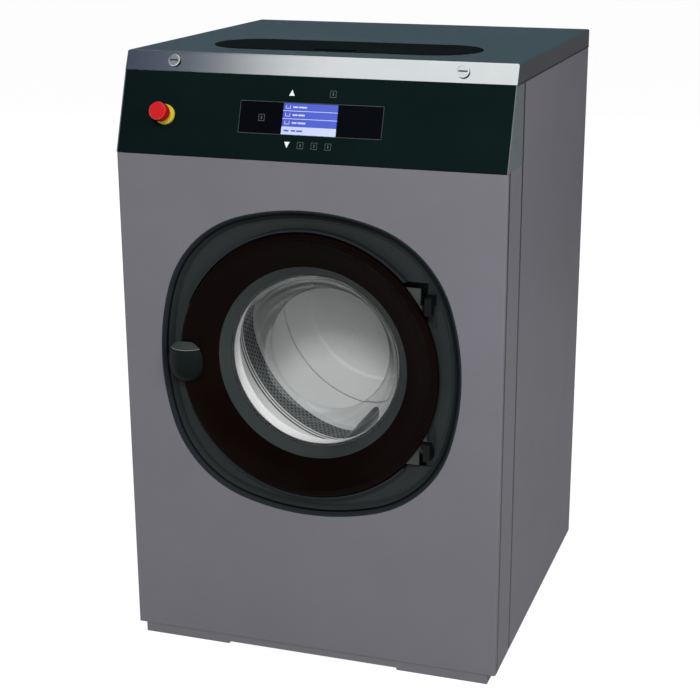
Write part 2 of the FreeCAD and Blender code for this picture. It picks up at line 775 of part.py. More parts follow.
# Door: moulded ring, glass ring, glass bowl and the steel ring that clamps them from behind
def door():
    centre = ("0", FRONT, "door_z")
    ring_rear = "ring_t - ring_proud"
    lap = "funnel_depth + glass_lap"
    ring = lathe("ring_moulding", [
        ("funnel_r", "funnel_depth", "funnel_curve", -1),
        ("ring_r - ring_edge", "-ring_proud"),
        ("ring_r - ring_round", "-ring_proud", "ring_round", 1),
        ("ring_r", "-ring_proud + ring_round"),
        ("ring_r", ring_rear),
        ("ring_r - ring_edge", ring_rear),
        ("skirt_r + skirt_t", "ring_t"),
        ("skirt_r", "ring_t"),
        ("skirt_r", "door_depth"),
        ("skirt_r - skirt_t", "door_depth"),
        ("skirt_r - skirt_t", f"{ring_rear} + ring_t"),
        ("funnel_r + skirt_t", lap),
        ("funnel_r", lap),
    ], centre)
    lugs, bores = [], []
    for name, z in (("upper", "handle_lug_at"), ("lower", "-handle_lug_at - handle_lug_h")):
        foot = f"{FRONT} + handle_pivot_y"
        lugs.append(box(f"{name}_lug_leg", ("2 * handle_lug_r", "ring_t + ring_proud - handle_pivot_y / 2",
                                            "handle_lug_h"),
                        ("handle_pivot_x - handle_lug_r", foot, f"door_z + {z}")))
        lugs.append(rod(f"{name}_lug_eye", "handle_lug_r", "handle_lug_h",
                        ("handle_pivot_x", foot, f"door_z + {z}")))
        bores.append(rod(f"{name}_lug_bore", "handle_pin_r + run_fit", "3 * handle_lug_h",
                         ("handle_pivot_x", foot, f"door_z + {z} - handle_lug_h")))
    notch = box("hook_notch", ("ring_r - skirt_r - skirt_t", "2 * ring_t", "hook_h + 2 * seam"),
                ("-ring_r - seam", f"{FRONT} - ring_proud - seam", "door_z - hook_h / 2 - seam"))
    node(cut("ring", fuse("ring_with_lugs", ring, *lugs), notch, *bores), "door_ring")
    seat = "door_depth - glass_t"
    node(lathe("glass_frame", [
        ("funnel_r - play", "funnel_depth"),
        ("funnel_r - play", lap),
        ("glass_r + glass_lap", seat),
        ("glass_r", seat),
        ("glass_r", f"{seat} - frame_edge"),
    ], centre), "glass_ring")
    floor = f"{seat} + bowl_depth"
    node(lathe("bowl", [
        ("glass_r - glass_t", seat),
        ("glass_r + glass_seat", seat),
        ("glass_r + glass_seat", "door_depth"),
        ("glass_r", "door_depth", "bowl_curve + glass_t", 1),
        ("bowl_floor_r", f"{floor} + glass_t"),
        ("0", f"{floor} + glass_t"),
        ("0", floor),
        ("bowl_floor_r - glass_t / 2", floor, "bowl_curve", -1),
    ], centre), "door_glass")
    node(lathe("back_ring", [
        ("glass_r + play", "door_depth"),
        ("skirt_r", "door_depth"),
        ("skirt_r", "door_depth + back_ring_t"),
        ("glass_r + play", "door_depth + back_ring_t"),
    ], centre), "door_back_ring")


# Door hinge: corner leaves behind the ring, pins, and a bracket behind the front panel
def door_hinge():
    axis_y = f"{FRONT} - hinge_proud"
    leaf_y = f"{FRONT} + ring_t - ring_proud"
    plate_y = f"{FRONT} + surround_depth + surround_t"
    ear_low = "knuckle_low + knuckle_h + play"
    leaves, pins, ears, eyes = [], [], [], []
    for name, sign in (("upper", 1), ("lower", -1)):
        def level(start, height):
            return f"door_z + {start}" if sign > 0 else f"door_z - ({start}) - ({height})"
        leaf_h = "leaf_half_h - leaf_low"
        plate = cut(f"{name}_leaf_plate",
                    box(f"{name}_leaf_sheet", ("leaf_edge_x - leaf_x", "leaf_t", leaf_h),
                        ("leaf_x", leaf_y, level("leaf_low", leaf_h))),
                    rod(f"{name}_leaf_relief", "ring_r - ring_edge + play", "2 * leaf_t",
                        ("0", f"{leaf_y} - leaf_t / 2", "door_z"), "y"))
        z = level("knuckle_low", "knuckle_h")
        arm = box(f"{name}_arm", ("hinge_x + knuckle_r - leaf_edge_x + knuckle_r", "leaf_t", "knuckle_h"),
                  ("leaf_edge_x - knuckle_r", leaf_y, z))
        riser_d = "hinge_proud + ring_t - ring_proud + leaf_t"
        riser = box(f"{name}_riser", ("2 * knuckle_r", riser_d, "knuckle_h"),
                    ("hinge_x - knuckle_r", axis_y, z))
        knuckle = rod(f"{name}_knuckle", "knuckle_r", "knuckle_h", ("hinge_x", axis_y, z))
        bore = rod(f"{name}_knuckle_bore", "pin_r + run_fit", "3 * knuckle_h",
                   ("hinge_x", axis_y, f"{z} - knuckle_h"))
        leaves.append(cut(f"{name}_leaf", fuse(f"{name}_leaf_blank", plate, arm, riser, knuckle), bore))
        pin_h = "knuckle_h + play + ear_h"
        pins.append(rod(f"{name}_pin", "pin_r", pin_h, ("hinge_x", axis_y, level("knuckle_low", pin_h))))
        z = level(ear_low, "ear_h")
        ear_d = "hinge_proud + surround_depth + surround_t + bracket_t"
        ears.append(box(f"{name}_ear", ("2 * knuckle_r", ear_d, "ear_h"), ("hinge_x - knuckle_r", axis_y, z)))
        ears.append(rod(f"{name}_ear_eye", "knuckle_r", "ear_h", ("hinge_x", axis_y, z)))
        eyes.append(rod(f"{name}_ear_bore", "pin_r + run_fit", "2 * ear_h",
                        ("hinge_x", axis_y, f"{z} - ear_h / 2")))
    node(group("leaves", *leaves), "hinge_leaves")
    node(group("pins", *pins), "hinge_pins")
    height = "2 * bracket_half_h"
    low = "door_z - bracket_half_h"
    outer_x = "surround_half + surround_flange + bracket_t"
    web = box("bracket_web", (f"{outer_x} + bracket_t - hinge_x + knuckle_r", "bracket_t", height),
              ("hinge_x - knuckle_r", plate_y, low))
    leg = box("bracket_leg", ("bracket_t", "surround_depth + surround_t + bracket_t - sheet_t", height),
              (outer_x, f"{FRONT} + sheet_t", low))
    foot = box("bracket_foot_plate", ("bracket_foot + bracket_t", "bracket_t", height),
               (outer_x, f"{FRONT} + sheet_t", low))
    node(cut("bracket", fuse("bracket_blank", web, leg, foot, *ears), *eyes), "hinge_bracket")


# Handle: a domed grip that pivots on the ring and swings the latch hook behind it
def handle():
    back_y = f"{FRONT} - handle_back"

    def lens(level):
        """The grip's outline at a level from -1 at its foot to 1 at its top."""
        size = (1 - abs(level) ** power) ** (1 / power)
        lean = value("thumb_lean") * max(level - brow, 0) / (1 - brow)
        base = point("handle_x", back_y, f"door_z - handle_drop + {level} * handle_h / 2")
        ends = [base + Vector(side * size * value("handle_w") / 2, 0, 0) for side in (-1, 1)]
        crown = base - Vector(0, size * (1 - lean) * value("handle_proud - handle_back"), 0)
        return Part.Wire([Part.Arc(ends[0], crown, ends[1]).toShape(),
                          Part.LineSegment(ends[1], ends[0]).toShape()])

    def dome(last, steps):
        """The grip from its brow to a level, smooth over evenly spaced outlines."""
        return Part.makeLoft([lens(brow + (last - brow) * i / steps) for i in range(steps + 1)], True)
    power, brow, tip = value("handle_round"), value("handle_brow"), value("handle_tip")
    shell, thumb = dome(-tip, 6), dome(tip, 3)
    grip = solid("grip_blank", shell.fuse(thumb).removeSplitter())
    pockets = []
    for name, z in (("upper", "handle_lug_at - play"), ("lower", "-handle_lug_at - handle_lug_h - play")):
        pockets.append(box(f"{name}_pocket", ("2 * handle_lug_r + 2 * handle_lug_room",
                                              "handle_back - handle_pivot_y", "handle_lug_h + 2 * play"),
                           ("handle_pivot_x - handle_lug_r - handle_lug_room",
                            f"{FRONT} + handle_pivot_y - handle_lug_r - 2 * play", f"door_z + {z}")))
    pin_h = "2 * handle_lug_at + 2 * handle_lug_h + 2 * seam"
    low = f"door_z - ({pin_h}) / 2"
    pin_at = ("handle_pivot_x", f"{FRONT} + handle_pivot_y", low)
    pockets.append(rod("grip_bore", "handle_pin_r + run_fit", pin_h, pin_at))
    node(cut("grip", grip, *pockets), "door_handle")
    node(rod("grip_pin", "handle_pin_r", pin_h, pin_at), "handle_pin")
    shank = box("hook_shank", ("hook_w", "hook_reach", "hook_h"), ("hook_x", back_y, "door_z - hook_h / 2"))
    nose = box("hook_nose", ("2 * hook_w", "hook_w", "hook_h"),
               ("hook_x", f"{back_y} + hook_reach - hook_w", "door_z - hook_h / 2"))
    node(fuse("hook", shank, nose), "latch_hook")
    lock_y = f"{FRONT} + surround_depth + surround_t"
    lock_x = "-surround_bore_r - lock_w - play"
    case = box("lock_case", ("lock_w", "lock_d", "lock_h"), (lock_x, lock_y, "door_z - lock_h / 2"))
    mouth = box("lock_mouth", ("lock_w - 2 * seam", "lock_d", "latch_slot_h - 2 * seam"),
                (f"{lock_x} + seam", f"{lock_y} - seam", "door_z - latch_slot_h / 2 + seam"))
    node(cut("lock", case, mouth), "door_lock")


# Soap hopper under the top cover, with its compartments, lid and lid pin
def soap_hopper():
    centre_y = f"{FRONT} + hopper_y"
    top = "cab_h - sheet_t"
    bottom = f"{top} - hopper_depth"
    ledge = "cab_h + lid_proud - lid_t - play"
    outer = pill("hopper_outer", "hopper_w + 2 * hopper_wall", "hopper_l + 2 * hopper_wall", "hopper_depth",
                 ("0", centre_y, bottom))
    rim = pill("hopper_rim", "hopper_w + 2 * return_d", "hopper_l + 2 * return_d", "hopper_wall",
               ("0", centre_y, f"{top} - hopper_wall"))
    mouth = pill("hopper_mouth", "hopper_w", "hopper_l", "2 * lid_t", ("0", centre_y, ledge))
    room = pill("hopper_room", "hopper_w - 2 * ledge_w", "hopper_l - 2 * ledge_w", "hopper_depth",
                ("0", centre_y, f"{bottom} + hopper_wall"))
    drop = rod("hopper_drop", "spout_r - pipe_t", "4 * hopper_wall",
               ("0", centre_y, f"{bottom} - hopper_wall"))
    feeds = [rod(f"hopper_feed_{i}", "hose_r - pipe_t", "hopper_l / 2",
                 (f"inlet_x - {i} * inlet_gap", centre_y, "inlet_z"), "y") for i in (0, 1)]
    tank = cut("hopper_tank", fuse("hopper_block", outer, rim), mouth, room, drop, *feeds)
    walls = [box(f"hopper_wall_{i}", ("hopper_wall", "hopper_l - 2 * ledge_w", "hopper_depth / 2"),
                 (f"{i} * cup_gap - hopper_wall / 2", f"{centre_y} - hopper_l / 2 + ledge_w",
                  f"{bottom} + hopper_wall")) for i in (-2, -1, 1, 2)]
    lid_h = "cab_h + lid_proud"
    axis_y = f"{centre_y} + hopper_l / 2 - lid_gap - lid_t / 2"
    axis_z = f"{lid_h} - lid_t / 2"
    lugs, bores = [], []
    for i in (-1, 1):
        x = f"{i} * lug_x - lug_w / 2"
        lugs.append(box(f"lid_lug_{i}", ("lug_w", "2 * lug_r", f"{axis_z} - ({ledge})"),
                        (x, f"{axis_y} - lug_r", ledge)))
        lugs.append(rod(f"lid_lug_eye_{i}", "lug_r", "lug_w", (x, axis_y, axis_z), "x"))
        bores.append(rod(f"lid_lug_bore_{i}", "lid_pin_r + run_fit", "3 * lug_w",
                         (f"{x} - lug_w", axis_y, axis_z), "x"))
    straight = "hopper_w - hopper_l"
    plug = pill("hopper_corner_plug", "hopper_w - 2 * play", "hopper_l - 2 * play", "lid_t",
                ("0", centre_y, ledge))
    ahead = box("hopper_corner_front", ("hopper_w", "hopper_l", "2 * lid_t"),
                ("-hopper_w / 2", f"{axis_y} - lid_t + 2 * lid_gap - hopper_l", ledge))
    between = box("hopper_corner_middle", (f"{straight} + 2 * lid_gap", "hopper_l", "2 * lid_t"),
                  (f"-({straight}) / 2 - lid_gap", f"{centre_y} - hopper_l / 2", ledge))
    corners = cut("hopper_corners", plug, ahead, between)
    node(cut("hopper", fuse("hopper_with_lugs", tank, corners, *walls, *lugs), *bores), "soap_hopper")
    plate = pill("lid_plate", "hopper_w - 2 * lid_gap", "hopper_l - 2 * lid_gap", "lid_t",
                 ("0", centre_y, f"{lid_h} - lid_t"))
    edge = box("lid_edge_trim", (straight, "lid_t", "2 * lid_t"),
               (f"-({straight}) / 2", axis_y, f"{lid_h} - 1.5 * lid_t"))
    ends = [box(f"lid_end_trim_{i}", ("hopper_l / 2", "2 * lid_t", "2 * lid_t"),
                (f"{i} * (({straight}) / 2 + hopper_l / 4) - hopper_l / 4", f"{axis_y} - lid_t",
                 f"{lid_h} - 1.5 * lid_t")) for i in (-1, 1)]
    bead = rod("lid_bead", "lid_t / 2", straight, (f"-({straight}) / 2", axis_y, axis_z), "x")
    pin_l = "2 * lug_x + lug_w + 4 * lid_t"
    pin_at = (f"-({pin_l}) / 2", axis_y, axis_z)
    tools = [rod("lid_bore", "lid_pin_r + run_fit", pin_l, pin_at, "x")]
    for i in (-1, 1):
        tools.append(box(f"lid_notch_{i}", ("lug_w + 2 * play", "2 * lid_t", "2 * lid_t"),
                         (f"{i} * lug_x - lug_w / 2 - play", f"{axis_y} - lug_r - seam",
                          f"{lid_h} - 1.5 * lid_t")))
    grip = pill("lid_grip", "lid_grip_w", "lid_grip_l", "lid_t",
                ("0", f"{centre_y} - hopper_l / 2 + lid_grip_l", f"{lid_h} - lid_t / 4"))
    node(cut("lid", fuse("lid_blank", cut("lid_flat", plate, edge, *ends), bead), *tools, grip), "soap_lid")
    node(rod("lid_rod", "lid_pin_r", pin_l, pin_at, "x"), "soap_lid_pin")
    pipe_low = "door_z + tub_r + play"
    node(tube("fill", "spout_r", "spout_r - pipe_t", f"{bottom} - ({pipe_low})", ("0", centre_y, pipe_low)),
         "fill_pipe")


# Outer tub: shell with back and sump, front with its neck, and the rubber seal on the neck
def tub():
    centre = ("0", FRONT, "door_z")
    bore = "seal_r + play"
    shell = lathe("tub_drum", [
        ("tub_r - tub_t", "tub_front"),
        ("tub_r", "tub_front"),
        ("tub_r", "tub_back"),
        (bore, "tub_back"),
        (bore, "tub_back - tub_t"),
        ("tub_r - tub_t", "tub_back - tub_t"),
    ], centre)
    low = "door_z - tub_r - sump_l"
    neck = cut("sump_neck", rod("sump_outer", "sump_r", "tub_r / 2", ("drain_x", f"{FRONT} + sump_y", low)),
               rod("tub_inside", "tub_r - tub_t", "tub_back", ("0", FRONT, "door_z"), "y"))
    drop = rod("sump_bore", "sump_r - tub_t", "tub_r / 2 + 2 * seam",
               ("drain_x", f"{FRONT} + sump_y", f"{low} - seam"))
    feed = rod("fill_bore", "spout_r - pipe_t", "tub_r / 2",
               ("0", f"{FRONT} + hopper_y", "door_z + tub_r / 2 + tub_t"))
    node(cut("tub", fuse("tub_with_neck", shell, neck), drop, feed), "tub_shell")
    neck_y = "tub_front - neck_l"
    node(lathe("tub_face", [
        ("neck_r", neck_y),
        ("neck_r + tub_t", neck_y),
        ("neck_r + tub_t", "tub_front - tub_t"),
        ("tub_r + 2 * tub_t", "tub_front - tub_t"),
        ("tub_r + 2 * tub_t", "tub_front"),
        ("neck_r", "tub_front"),
    ], centre), "tub_front")
    face = "door_depth + back_ring_t + play"
    node(lathe("gasket", [
        ("neck_r - gasket_t", face),
        ("neck_r + tub_t + gasket_t", face),
        ("neck_r + tub_t + gasket_t", f"{neck_y} + gasket_t"),
        ("neck_r + tub_t + play", f"{neck_y} + gasket_t"),
        ("neck_r + tub_t + play", f"{neck_y} - play"),
        ("neck_r - play", f"{neck_y} - play"),
        ("neck_r - play", f"{neck_y} + gasket_t"),
        ("neck_r - gasket_t", f"{neck_y} + gasket_t"),
    ], centre), "door_seal")
    node(tube("shaft_packing", "seal_r", "shaft_r + play", "3 * tub_t",
              ("0", f"{FRONT} + tub_back - 2 * tub_t", "door_z"), "y"), "shaft_seal")


# Drum with lifters, carried by a three-armed spider on the shaft
def drum():
    centre = ("0", FRONT, "door_z")
    back = "drum_front + drum_depth"
    node(tube("drum_wall", "drum_r + drum_t", "drum_r", "drum_depth - 2 * drum_t",
              ("0", f"{FRONT} + drum_front + drum_t", "door_z"), "y"), "drum_shell")
    node(lathe("drum_mouth", [
        ("mouth_r", "drum_front - lip_r"),
        ("mouth_r + drum_t", "drum_front - lip_r"),
        ("mouth_r + drum_t + lip_r", "drum_front"),
        ("drum_r + drum_t", "drum_front"),
        ("drum_r + drum_t", "drum_front + drum_t"),
        ("mouth_r + drum_t", "drum_front + drum_t"),
        ("mouth_r + drum_t", "drum_front + mouth_l"),
        ("mouth_r", "drum_front + mouth_l"),
    ], centre), "drum_front")
    node(lathe("drum_end", [
        ("0", f"{back} - drum_t"),
        ("swage_r - swage_d", f"{back} - drum_t"),
        ("swage_r", f"{back} - drum_t - swage_d"),
        ("swage_r + swage_w", f"{back} - drum_t - swage_d"),
        ("swage_r + swage_w + swage_d", f"{back} - drum_t"),
        ("drum_r + drum_t", f"{back} - drum_t"),
        ("drum_r + drum_t", back),
        ("0", back),
    ], centre), "drum_back")
    ribs = []
    inside = "drum_r - play"
    foot = f"sqrt(({inside}) ^ 2 - (lifter_w / 2) ^ 2)"
    crown = f"{foot} - lifter_h"
    for i in range(3):
        turn = Rotation(Vector(0, 1, 0), 120 * i + 60)
        ribs.append(pad(f"lifter_{i}", "XZ_Plane", [
            ("lifter_w / 2", foot),
            ("lifter_w / 2 - lifter_t", foot),
            ("lifter_top / 2 - lifter_t / 2", f"{crown} + lifter_t", "0.6 * lifter_top - lifter_t", -1),
            ("-lifter_top / 2 + lifter_t / 2", f"{crown} + lifter_t"),
            ("-lifter_w / 2 + lifter_t", foot),
            ("-lifter_w / 2", foot),
            ("-lifter_top / 2", crown, "0.6 * lifter_top", 1),
            ("lifter_top / 2", crown),
        ], "drum_depth - 2 * drum_t - 2 * swage_d",
            ("0", f"{FRONT} + drum_front + drum_t + play", "door_z"), turn))
    node(group("lifters", *ribs), "drum_lifters")
    arms = [box(f"spider_arm_{i}", ("spider_arm", "spider_t", "drum_r"),
                Placement(point("0", f"{FRONT} + {back}", "door_z"), Rotation(Vector(0, 1, 0), 120 * i))
                .multiply(Placement(point("-spider_arm / 2", "0", "0"), Rotation()))) for i in range(3)]
    hub = rod("spider_hub", "2 * shaft_r", "spider_t + tub_t", ("0", f"{FRONT} + {back}", "door_z"), "y")
    eye = rod("spider_eye", "shaft_r + run_fit", "4 * spider_t",
              ("0", f"{FRONT} + {back} - spider_t", "door_z"), "y")
    node(cut("spider", fuse("spider_casting", hub, *arms), eye), "drum_spider")
    node(rod("shaft", "shaft_r", f"pulley_at + pulley_w + seam - ({back}) - play",
             ("0", f"{FRONT} + {back} + play", "door_z"), "y"), "drum_shaft")


# Bearing stand on the base, with the housing and two bearings that carry the shaft
def bearing_stand():
    inner = "stand_half - stand_leg"
    bend = "stand_leg / 2"
    plate = pad("stand_plate", "XZ_Plane", [
        ("-stand_half", "base_h"),
        (f"-({inner})", "base_h"),
        (f"-({inner})", f"arch_top - {bend}"),
        (f"-({inner}) + {bend}", "arch_top"),
        (f"{inner} - {bend}", "arch_top"),
        (inner, f"arch_top - {bend}"),
        (inner, "base_h"),
        ("stand_half", "base_h"),
        ("stand_head", "stand_top"),
        ("-stand_head", "stand_top"),
    ], "stand_t", ("0", f"{FRONT} + tub_back", "0"))
    bore = rod("stand_bore", "seal_r + seam", "2 * stand_t",
               ("0", f"{FRONT} + tub_back - stand_t / 2", "door_z"), "y")
    feet = [box(f"stand_foot_{i}", ("stand_leg", "4 * stand_t", "stand_t"),
                (x, f"{FRONT} + tub_back + stand_t", "base_h"))
            for i, x in enumerate(("-stand_half", inner))]
    node(fuse("stand", cut("stand_bored", plate, bore), *feet), "bearing_stand")
    back = "tub_back + stand_t"
    hole = "bearing_r + run_fit"
    housing = lathe("housing_casting", [
        (hole, back),
        ("housing_flange_r", back),
        ("housing_flange_r", f"{back} + housing_flange_t"),
        ("housing_r + housing_flange_t", f"{back} + housing_flange_t"),
        ("housing_r", f"{back} + 2 * housing_flange_t"),
        ("housing_r", f"{back} + housing_l"),
        (hole, f"{back} + housing_l"),
    ], ("0", FRONT, "door_z"))
    node(housing, "bearing_housing")
    races = [tube(f"{name}_race", "bearing_r", "shaft_r + run_fit", "bearing_w",
                  ("0", f"{FRONT} + {y}", "door_z"), "y")
             for name, y in (("front", f"{back} + seam"),
                             ("rear", f"{back} + housing_l - bearing_w - seam"))]
    node(group("races", *races), "drum_bearings")


def belt_outline(grow, y):
    """The loop round both pulleys at a height above the groove floors."""
    radii = [value(f"{r} - groove_d") + grow for r in ("pulley_r", "motor_pulley_r")]
    centres = [point("0", y, "door_z"), point("motor_x", y, "motor_z")]
    span = centres[1] - centres[0]
    heading = math.atan2(span.z, span.x)
    spread = math.acos((radii[0] - radii[1]) / span.Length)

    def on(circle, angle):
        return centres[circle] + Vector(math.cos(angle), 0, math.sin(angle)) * radii[circle]
    high = [on(c, heading + spread) for c in (0, 1)]
    low = [on(c, heading - spread) for c in (0, 1)]
    return Part.Wire([
        Part.Arc(low[0], on(0, heading + math.pi), high[0]).toShape(),
        Part.LineSegment(high[0], high[1]).toShape(),
        Part.Arc(high[1], on(1, heading), low[1]).toShape(),
        Part.LineSegment(low[1], low[0]).toShape(),
    ])


# Belt drive: grooved pulleys, two belts, and the motor on its cradle
def belt_drive():
    land = "(pulley_w - 2 * groove_w) / 3"

    def grooved(radius):
        """The rim of a pulley with two belt grooves, from the front edge to the rear one."""
        rim = [(radius, "pulley_at")]
        for i in (0, 1):
            edge = f"pulley_at + {land} + {i} * ({land} + groove_w)"
            rim += [(radius, edge), (f"{radius} - groove_d", edge),
                    (f"{radius} - groove_d", f"{edge} + groove_w"), (radius, f"{edge} + groove_w")]
        return rim + [(radius, "pulley_at + pulley_w")]
    wall = "pulley_r - 3 * groove_d"
    middle = "pulley_at + pulley_w / 2"
    web = "pulley_w / 6"
    wheel = lathe("wheel", [
        ("shaft_r + run_fit", "pulley_at"),
        ("2 * shaft_r", "pulley_at"),
        ("2 * shaft_r", f"{middle} - {web}"),
        (wall, f"{middle} - {web}"),
        (wall, "pulley_at"),
        *grooved("pulley_r"),
        (wall, "pulley_at + pulley_w"),
        (wall, f"{middle} + {web}"),
        ("2 * shaft_r", f"{middle} + {web}"),
        ("2 * shaft_r", "pulley_at + pulley_w"),
        ("shaft_r + run_fit", "pulley_at + pulley_w"),
    ], ("0", FRONT, "door_z"))
    windows = []
    for i in range(5):
        swing = math.radians(72 * i)
        reach = value(f"(2 * shaft_r + {wall}) / 2")
        at = point("0", f"{FRONT} + pulley_at", "door_z")
        at += Vector(reach * math.cos(swing), 0, reach * math.sin(swing))
        windows.append(rod(f"wheel_window_{i}", "shaft_r", "pulley_w", Placement(at, TURN["y"])))
    node(cut("drum_wheel", wheel, *windows), "drum_pulley")
    node(lathe("motor_wheel", [
        ("motor_shaft_r + run_fit", "pulley_at"),
        *grooved("motor_pulley_r"),
        ("motor_shaft_r + run_fit", "pulley_at + pulley_w"),
    ], ("motor_x", FRONT, "motor_z")), "motor_pulley")
    belts = []
    for i in (0, 1):
        y = f"{FRONT} + pulley_at + {land} + {i} * ({land} + groove_w) + play"
        faces = [Part.Face(belt_outline(value(g), y)) for g in ("play + belt_t", "play")]
        width = Vector(0, value("groove_w - 2 * play"), 0)
        belts.append(solid(f"belt_{i}", faces[0].cut(faces[1]).extrude(width)))
    node(group("belts", *belts), "drive_belts")
    start = f"{FRONT} + pulley_at - motor_gap - motor_l"
    shell = rod("motor_shell", "motor_r", "motor_l", ("motor_x", start, "motor_z"), "y")
    bells = [rod(f"motor_bell_{i}", "motor_r + seam", "motor_l / 6", ("motor_x", y, "motor_z"), "y")
             for i, y in enumerate((start, f"{start} + 5 * motor_l / 6"))]
    socket = rod("motor_socket", "motor_shaft_r + run_fit", "motor_l / 2",
                 ("motor_x", f"{start} + motor_l / 2", "motor_z"), "y")
    node(cut("motor", fuse("motor_case", shell, *bells), socket), "drive_motor")
    node(rod("motor_spindle", "motor_shaft_r", "motor_l / 2 + motor_gap + pulley_w - play",
             ("motor_x", f"{start} + motor_l / 2 + play", "motor_z"), "y"), "motor_shaft")
    cradle = box("cradle_block", ("1.6 * motor_r", "motor_l", "motor_z - base_h - motor_r / 2"),
                 ("motor_x - 0.8 * motor_r", start, "base_h"))
    seat = rod("cradle_seat", "motor_r + seam + play", "motor_l + 2 * seam",
               ("motor_x", f"{start} - seam", "motor_z"), "y")
    arch = box("cradle_arch", ("1.6 * motor_r - 4 * seam", "motor_l + 2 * seam",
                               "motor_z - base_h - motor_r - 2 * seam"),
               ("motor_x - 0.8 * motor_r + 2 * seam", f"{start} - seam", "base_h - seam"))
    node(cut("cradle", cradle, seat, arch), "motor_mount")


# Water inlets, drain and cable entry in the rear wall
def water_and_entry():
    wall = f"{REAR} - sheet_t"
    hopper_back = f"{FRONT} + hopper_y + hopper_l / 2 + hopper_wall"
    valves, hoses = [], []
    for i, name in enumerate(("cold", "hot")):
        x = f"inlet_x - {i} * inlet_gap"
        case = box(f"{name}_case", ("valve_w", "valve_w", "valve_w"),
                   (f"{x} - valve_w / 2", f"{wall} - valve_w", "inlet_z - valve_w / 2"))
        neck = rod(f"{name}_neck", "inlet_neck_r", "sheet_t", (x, wall, "inlet_z"), "y")
        nut = rod(f"{name}_nut", "inlet_nut_r", "inlet_nut_t", (x, REAR, "inlet_z"), "y")
        stub = rod(f"{name}_stub", "inlet_r", "rear_reach", (x, REAR, "inlet_z"), "y")
        bore = rod(f"{name}_bore", "hose_r", "rear_reach + valve_w",
                   (x, f"{wall} - valve_w / 2", "inlet_z"), "y")
        valves.append(cut(f"{name}_valve", fuse(f"{name}_casting", case, neck, nut, stub), bore))
        hoses.append(tube(f"{name}_hose", "hose_r", "hose_r - pipe_t", f"{wall} - valve_w - ({hopper_back})",
                          (x, hopper_back, "inlet_z"), "y"))
    node(group("valves", *valves), "inlet_valves")
    node(group("hoses", *hoses), "inlet_hoses")
    valve_y = f"{FRONT} + sump_y"
    top = "door_z - tub_r - sump_l"
    barrel = rod("drain_barrel", "sump_r + 2 * pipe_t", f"{top} - drain_z + drain_r",
                 ("drain_x", valve_y, "drain_z - drain_r"))
    boss = rod("drain_boss", "drain_r", "sump_r + 5 * pipe_t", ("drain_x", valve_y, "drain_z"), "y")
    drive = box("drain_drive", ("2 * sump_r", "sump_r", "sump_r"),
                ("drain_x - 3 * sump_r", f"{valve_y} - sump_r / 2", "drain_z + drain_r"))
    node(fuse("drain_casting", barrel, boss, drive), "drain_valve")
    pipe_y = f"{valve_y} + sump_r + 5 * pipe_t"
    run = rod("drain_run", "drain_r + pipe_t", f"{REAR} - ({pipe_y})", ("drain_x", pipe_y, "drain_z"), "y")
    spigot = rod("drain_spigot", "drain_r", "rear_reach", ("drain_x", REAR, "drain_z"), "y")
    hollow = rod("drain_hollow", "drain_r - pipe_t", f"{REAR} + rear_reach - ({pipe_y})",
                 ("drain_x", pipe_y, "drain_z"), "y")
    node(cut("drain", fuse("drain_body", run, spigot), hollow), "drain_pipe")
    node(lathe("gland_turned", [
        ("gland_bore_r", "-gland_r"),
        ("gland_r", "-gland_r"),
        ("gland_r", "0"),
        ("1.4 * gland_r", "0"),
        ("1.4 * gland_r", "gland_r / 2"),
        ("gland_r", "gland_r"),
        ("gland_bore_r", "gland_r"),
    ], ("gland_x", REAR, "inlet_z")), "cable_gland")


base_frame()
cabinet()
rear_wall()
top_cover()
control_chassis()
emergency_stop()
cam_locks()
door_surround()
door()
door_hinge()
handle()
soap_hopper()
tub()
drum()
bearing_stand()
belt_drive()
water_and_entry()


# Test every object, then write each piece to its own file
def write_parts():
    doc.recompute()
    for item in doc.Objects:
        if {"Invalid", "Error"} & set(item.State):
            raise RuntimeError(f"{item.Label} failed: {item.State}")
    os.makedirs("parts", exist_ok=True)
    for item in nodes:
        shape = item.Shape
        if shape.isNull() or not shape.isValid() or not shape.Solids:
            raise RuntimeError(f"{item.Label} has no sound shape")
        shape.exportStep(f"parts/{item.Label}.step")
        print(f"{item.Label}: {len(shape.Solids)} solid, {shape.Volume / 1000:.1f} cm3")


write_parts()
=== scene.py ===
import json
import math

import bpy
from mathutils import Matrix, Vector


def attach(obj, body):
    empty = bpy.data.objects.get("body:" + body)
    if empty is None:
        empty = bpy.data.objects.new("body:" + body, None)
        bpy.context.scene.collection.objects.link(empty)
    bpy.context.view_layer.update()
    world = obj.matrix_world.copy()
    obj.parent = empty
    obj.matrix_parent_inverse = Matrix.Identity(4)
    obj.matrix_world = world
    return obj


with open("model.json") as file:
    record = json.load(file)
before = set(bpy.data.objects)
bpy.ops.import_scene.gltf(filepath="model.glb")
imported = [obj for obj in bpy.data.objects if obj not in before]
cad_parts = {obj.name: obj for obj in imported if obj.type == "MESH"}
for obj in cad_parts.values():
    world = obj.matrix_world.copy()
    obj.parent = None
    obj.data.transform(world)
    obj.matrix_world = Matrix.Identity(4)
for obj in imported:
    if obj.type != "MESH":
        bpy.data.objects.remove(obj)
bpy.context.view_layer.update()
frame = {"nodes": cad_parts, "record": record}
nodes = frame["nodes"]

# Axes of the frame: across the machine, from front to back, and up
X, Y, Z = 0, 1, 2


def start_of(name, axis):
    """Where a CAD piece starts along an axis, in metres."""
    return min(vertex.co[axis] for vertex in nodes[name].data.vertices)


def end_of(name, axis):
    """Where a CAD piece ends along an axis, in metres."""
    return max(vertex.co[axis] for vertex in nodes[name].data.vertices)


def middle_of(name, axis):
    """The middle of a CAD piece along an axis, in metres."""
    return (start_of(name, axis) + end_of(name, axis)) / 2


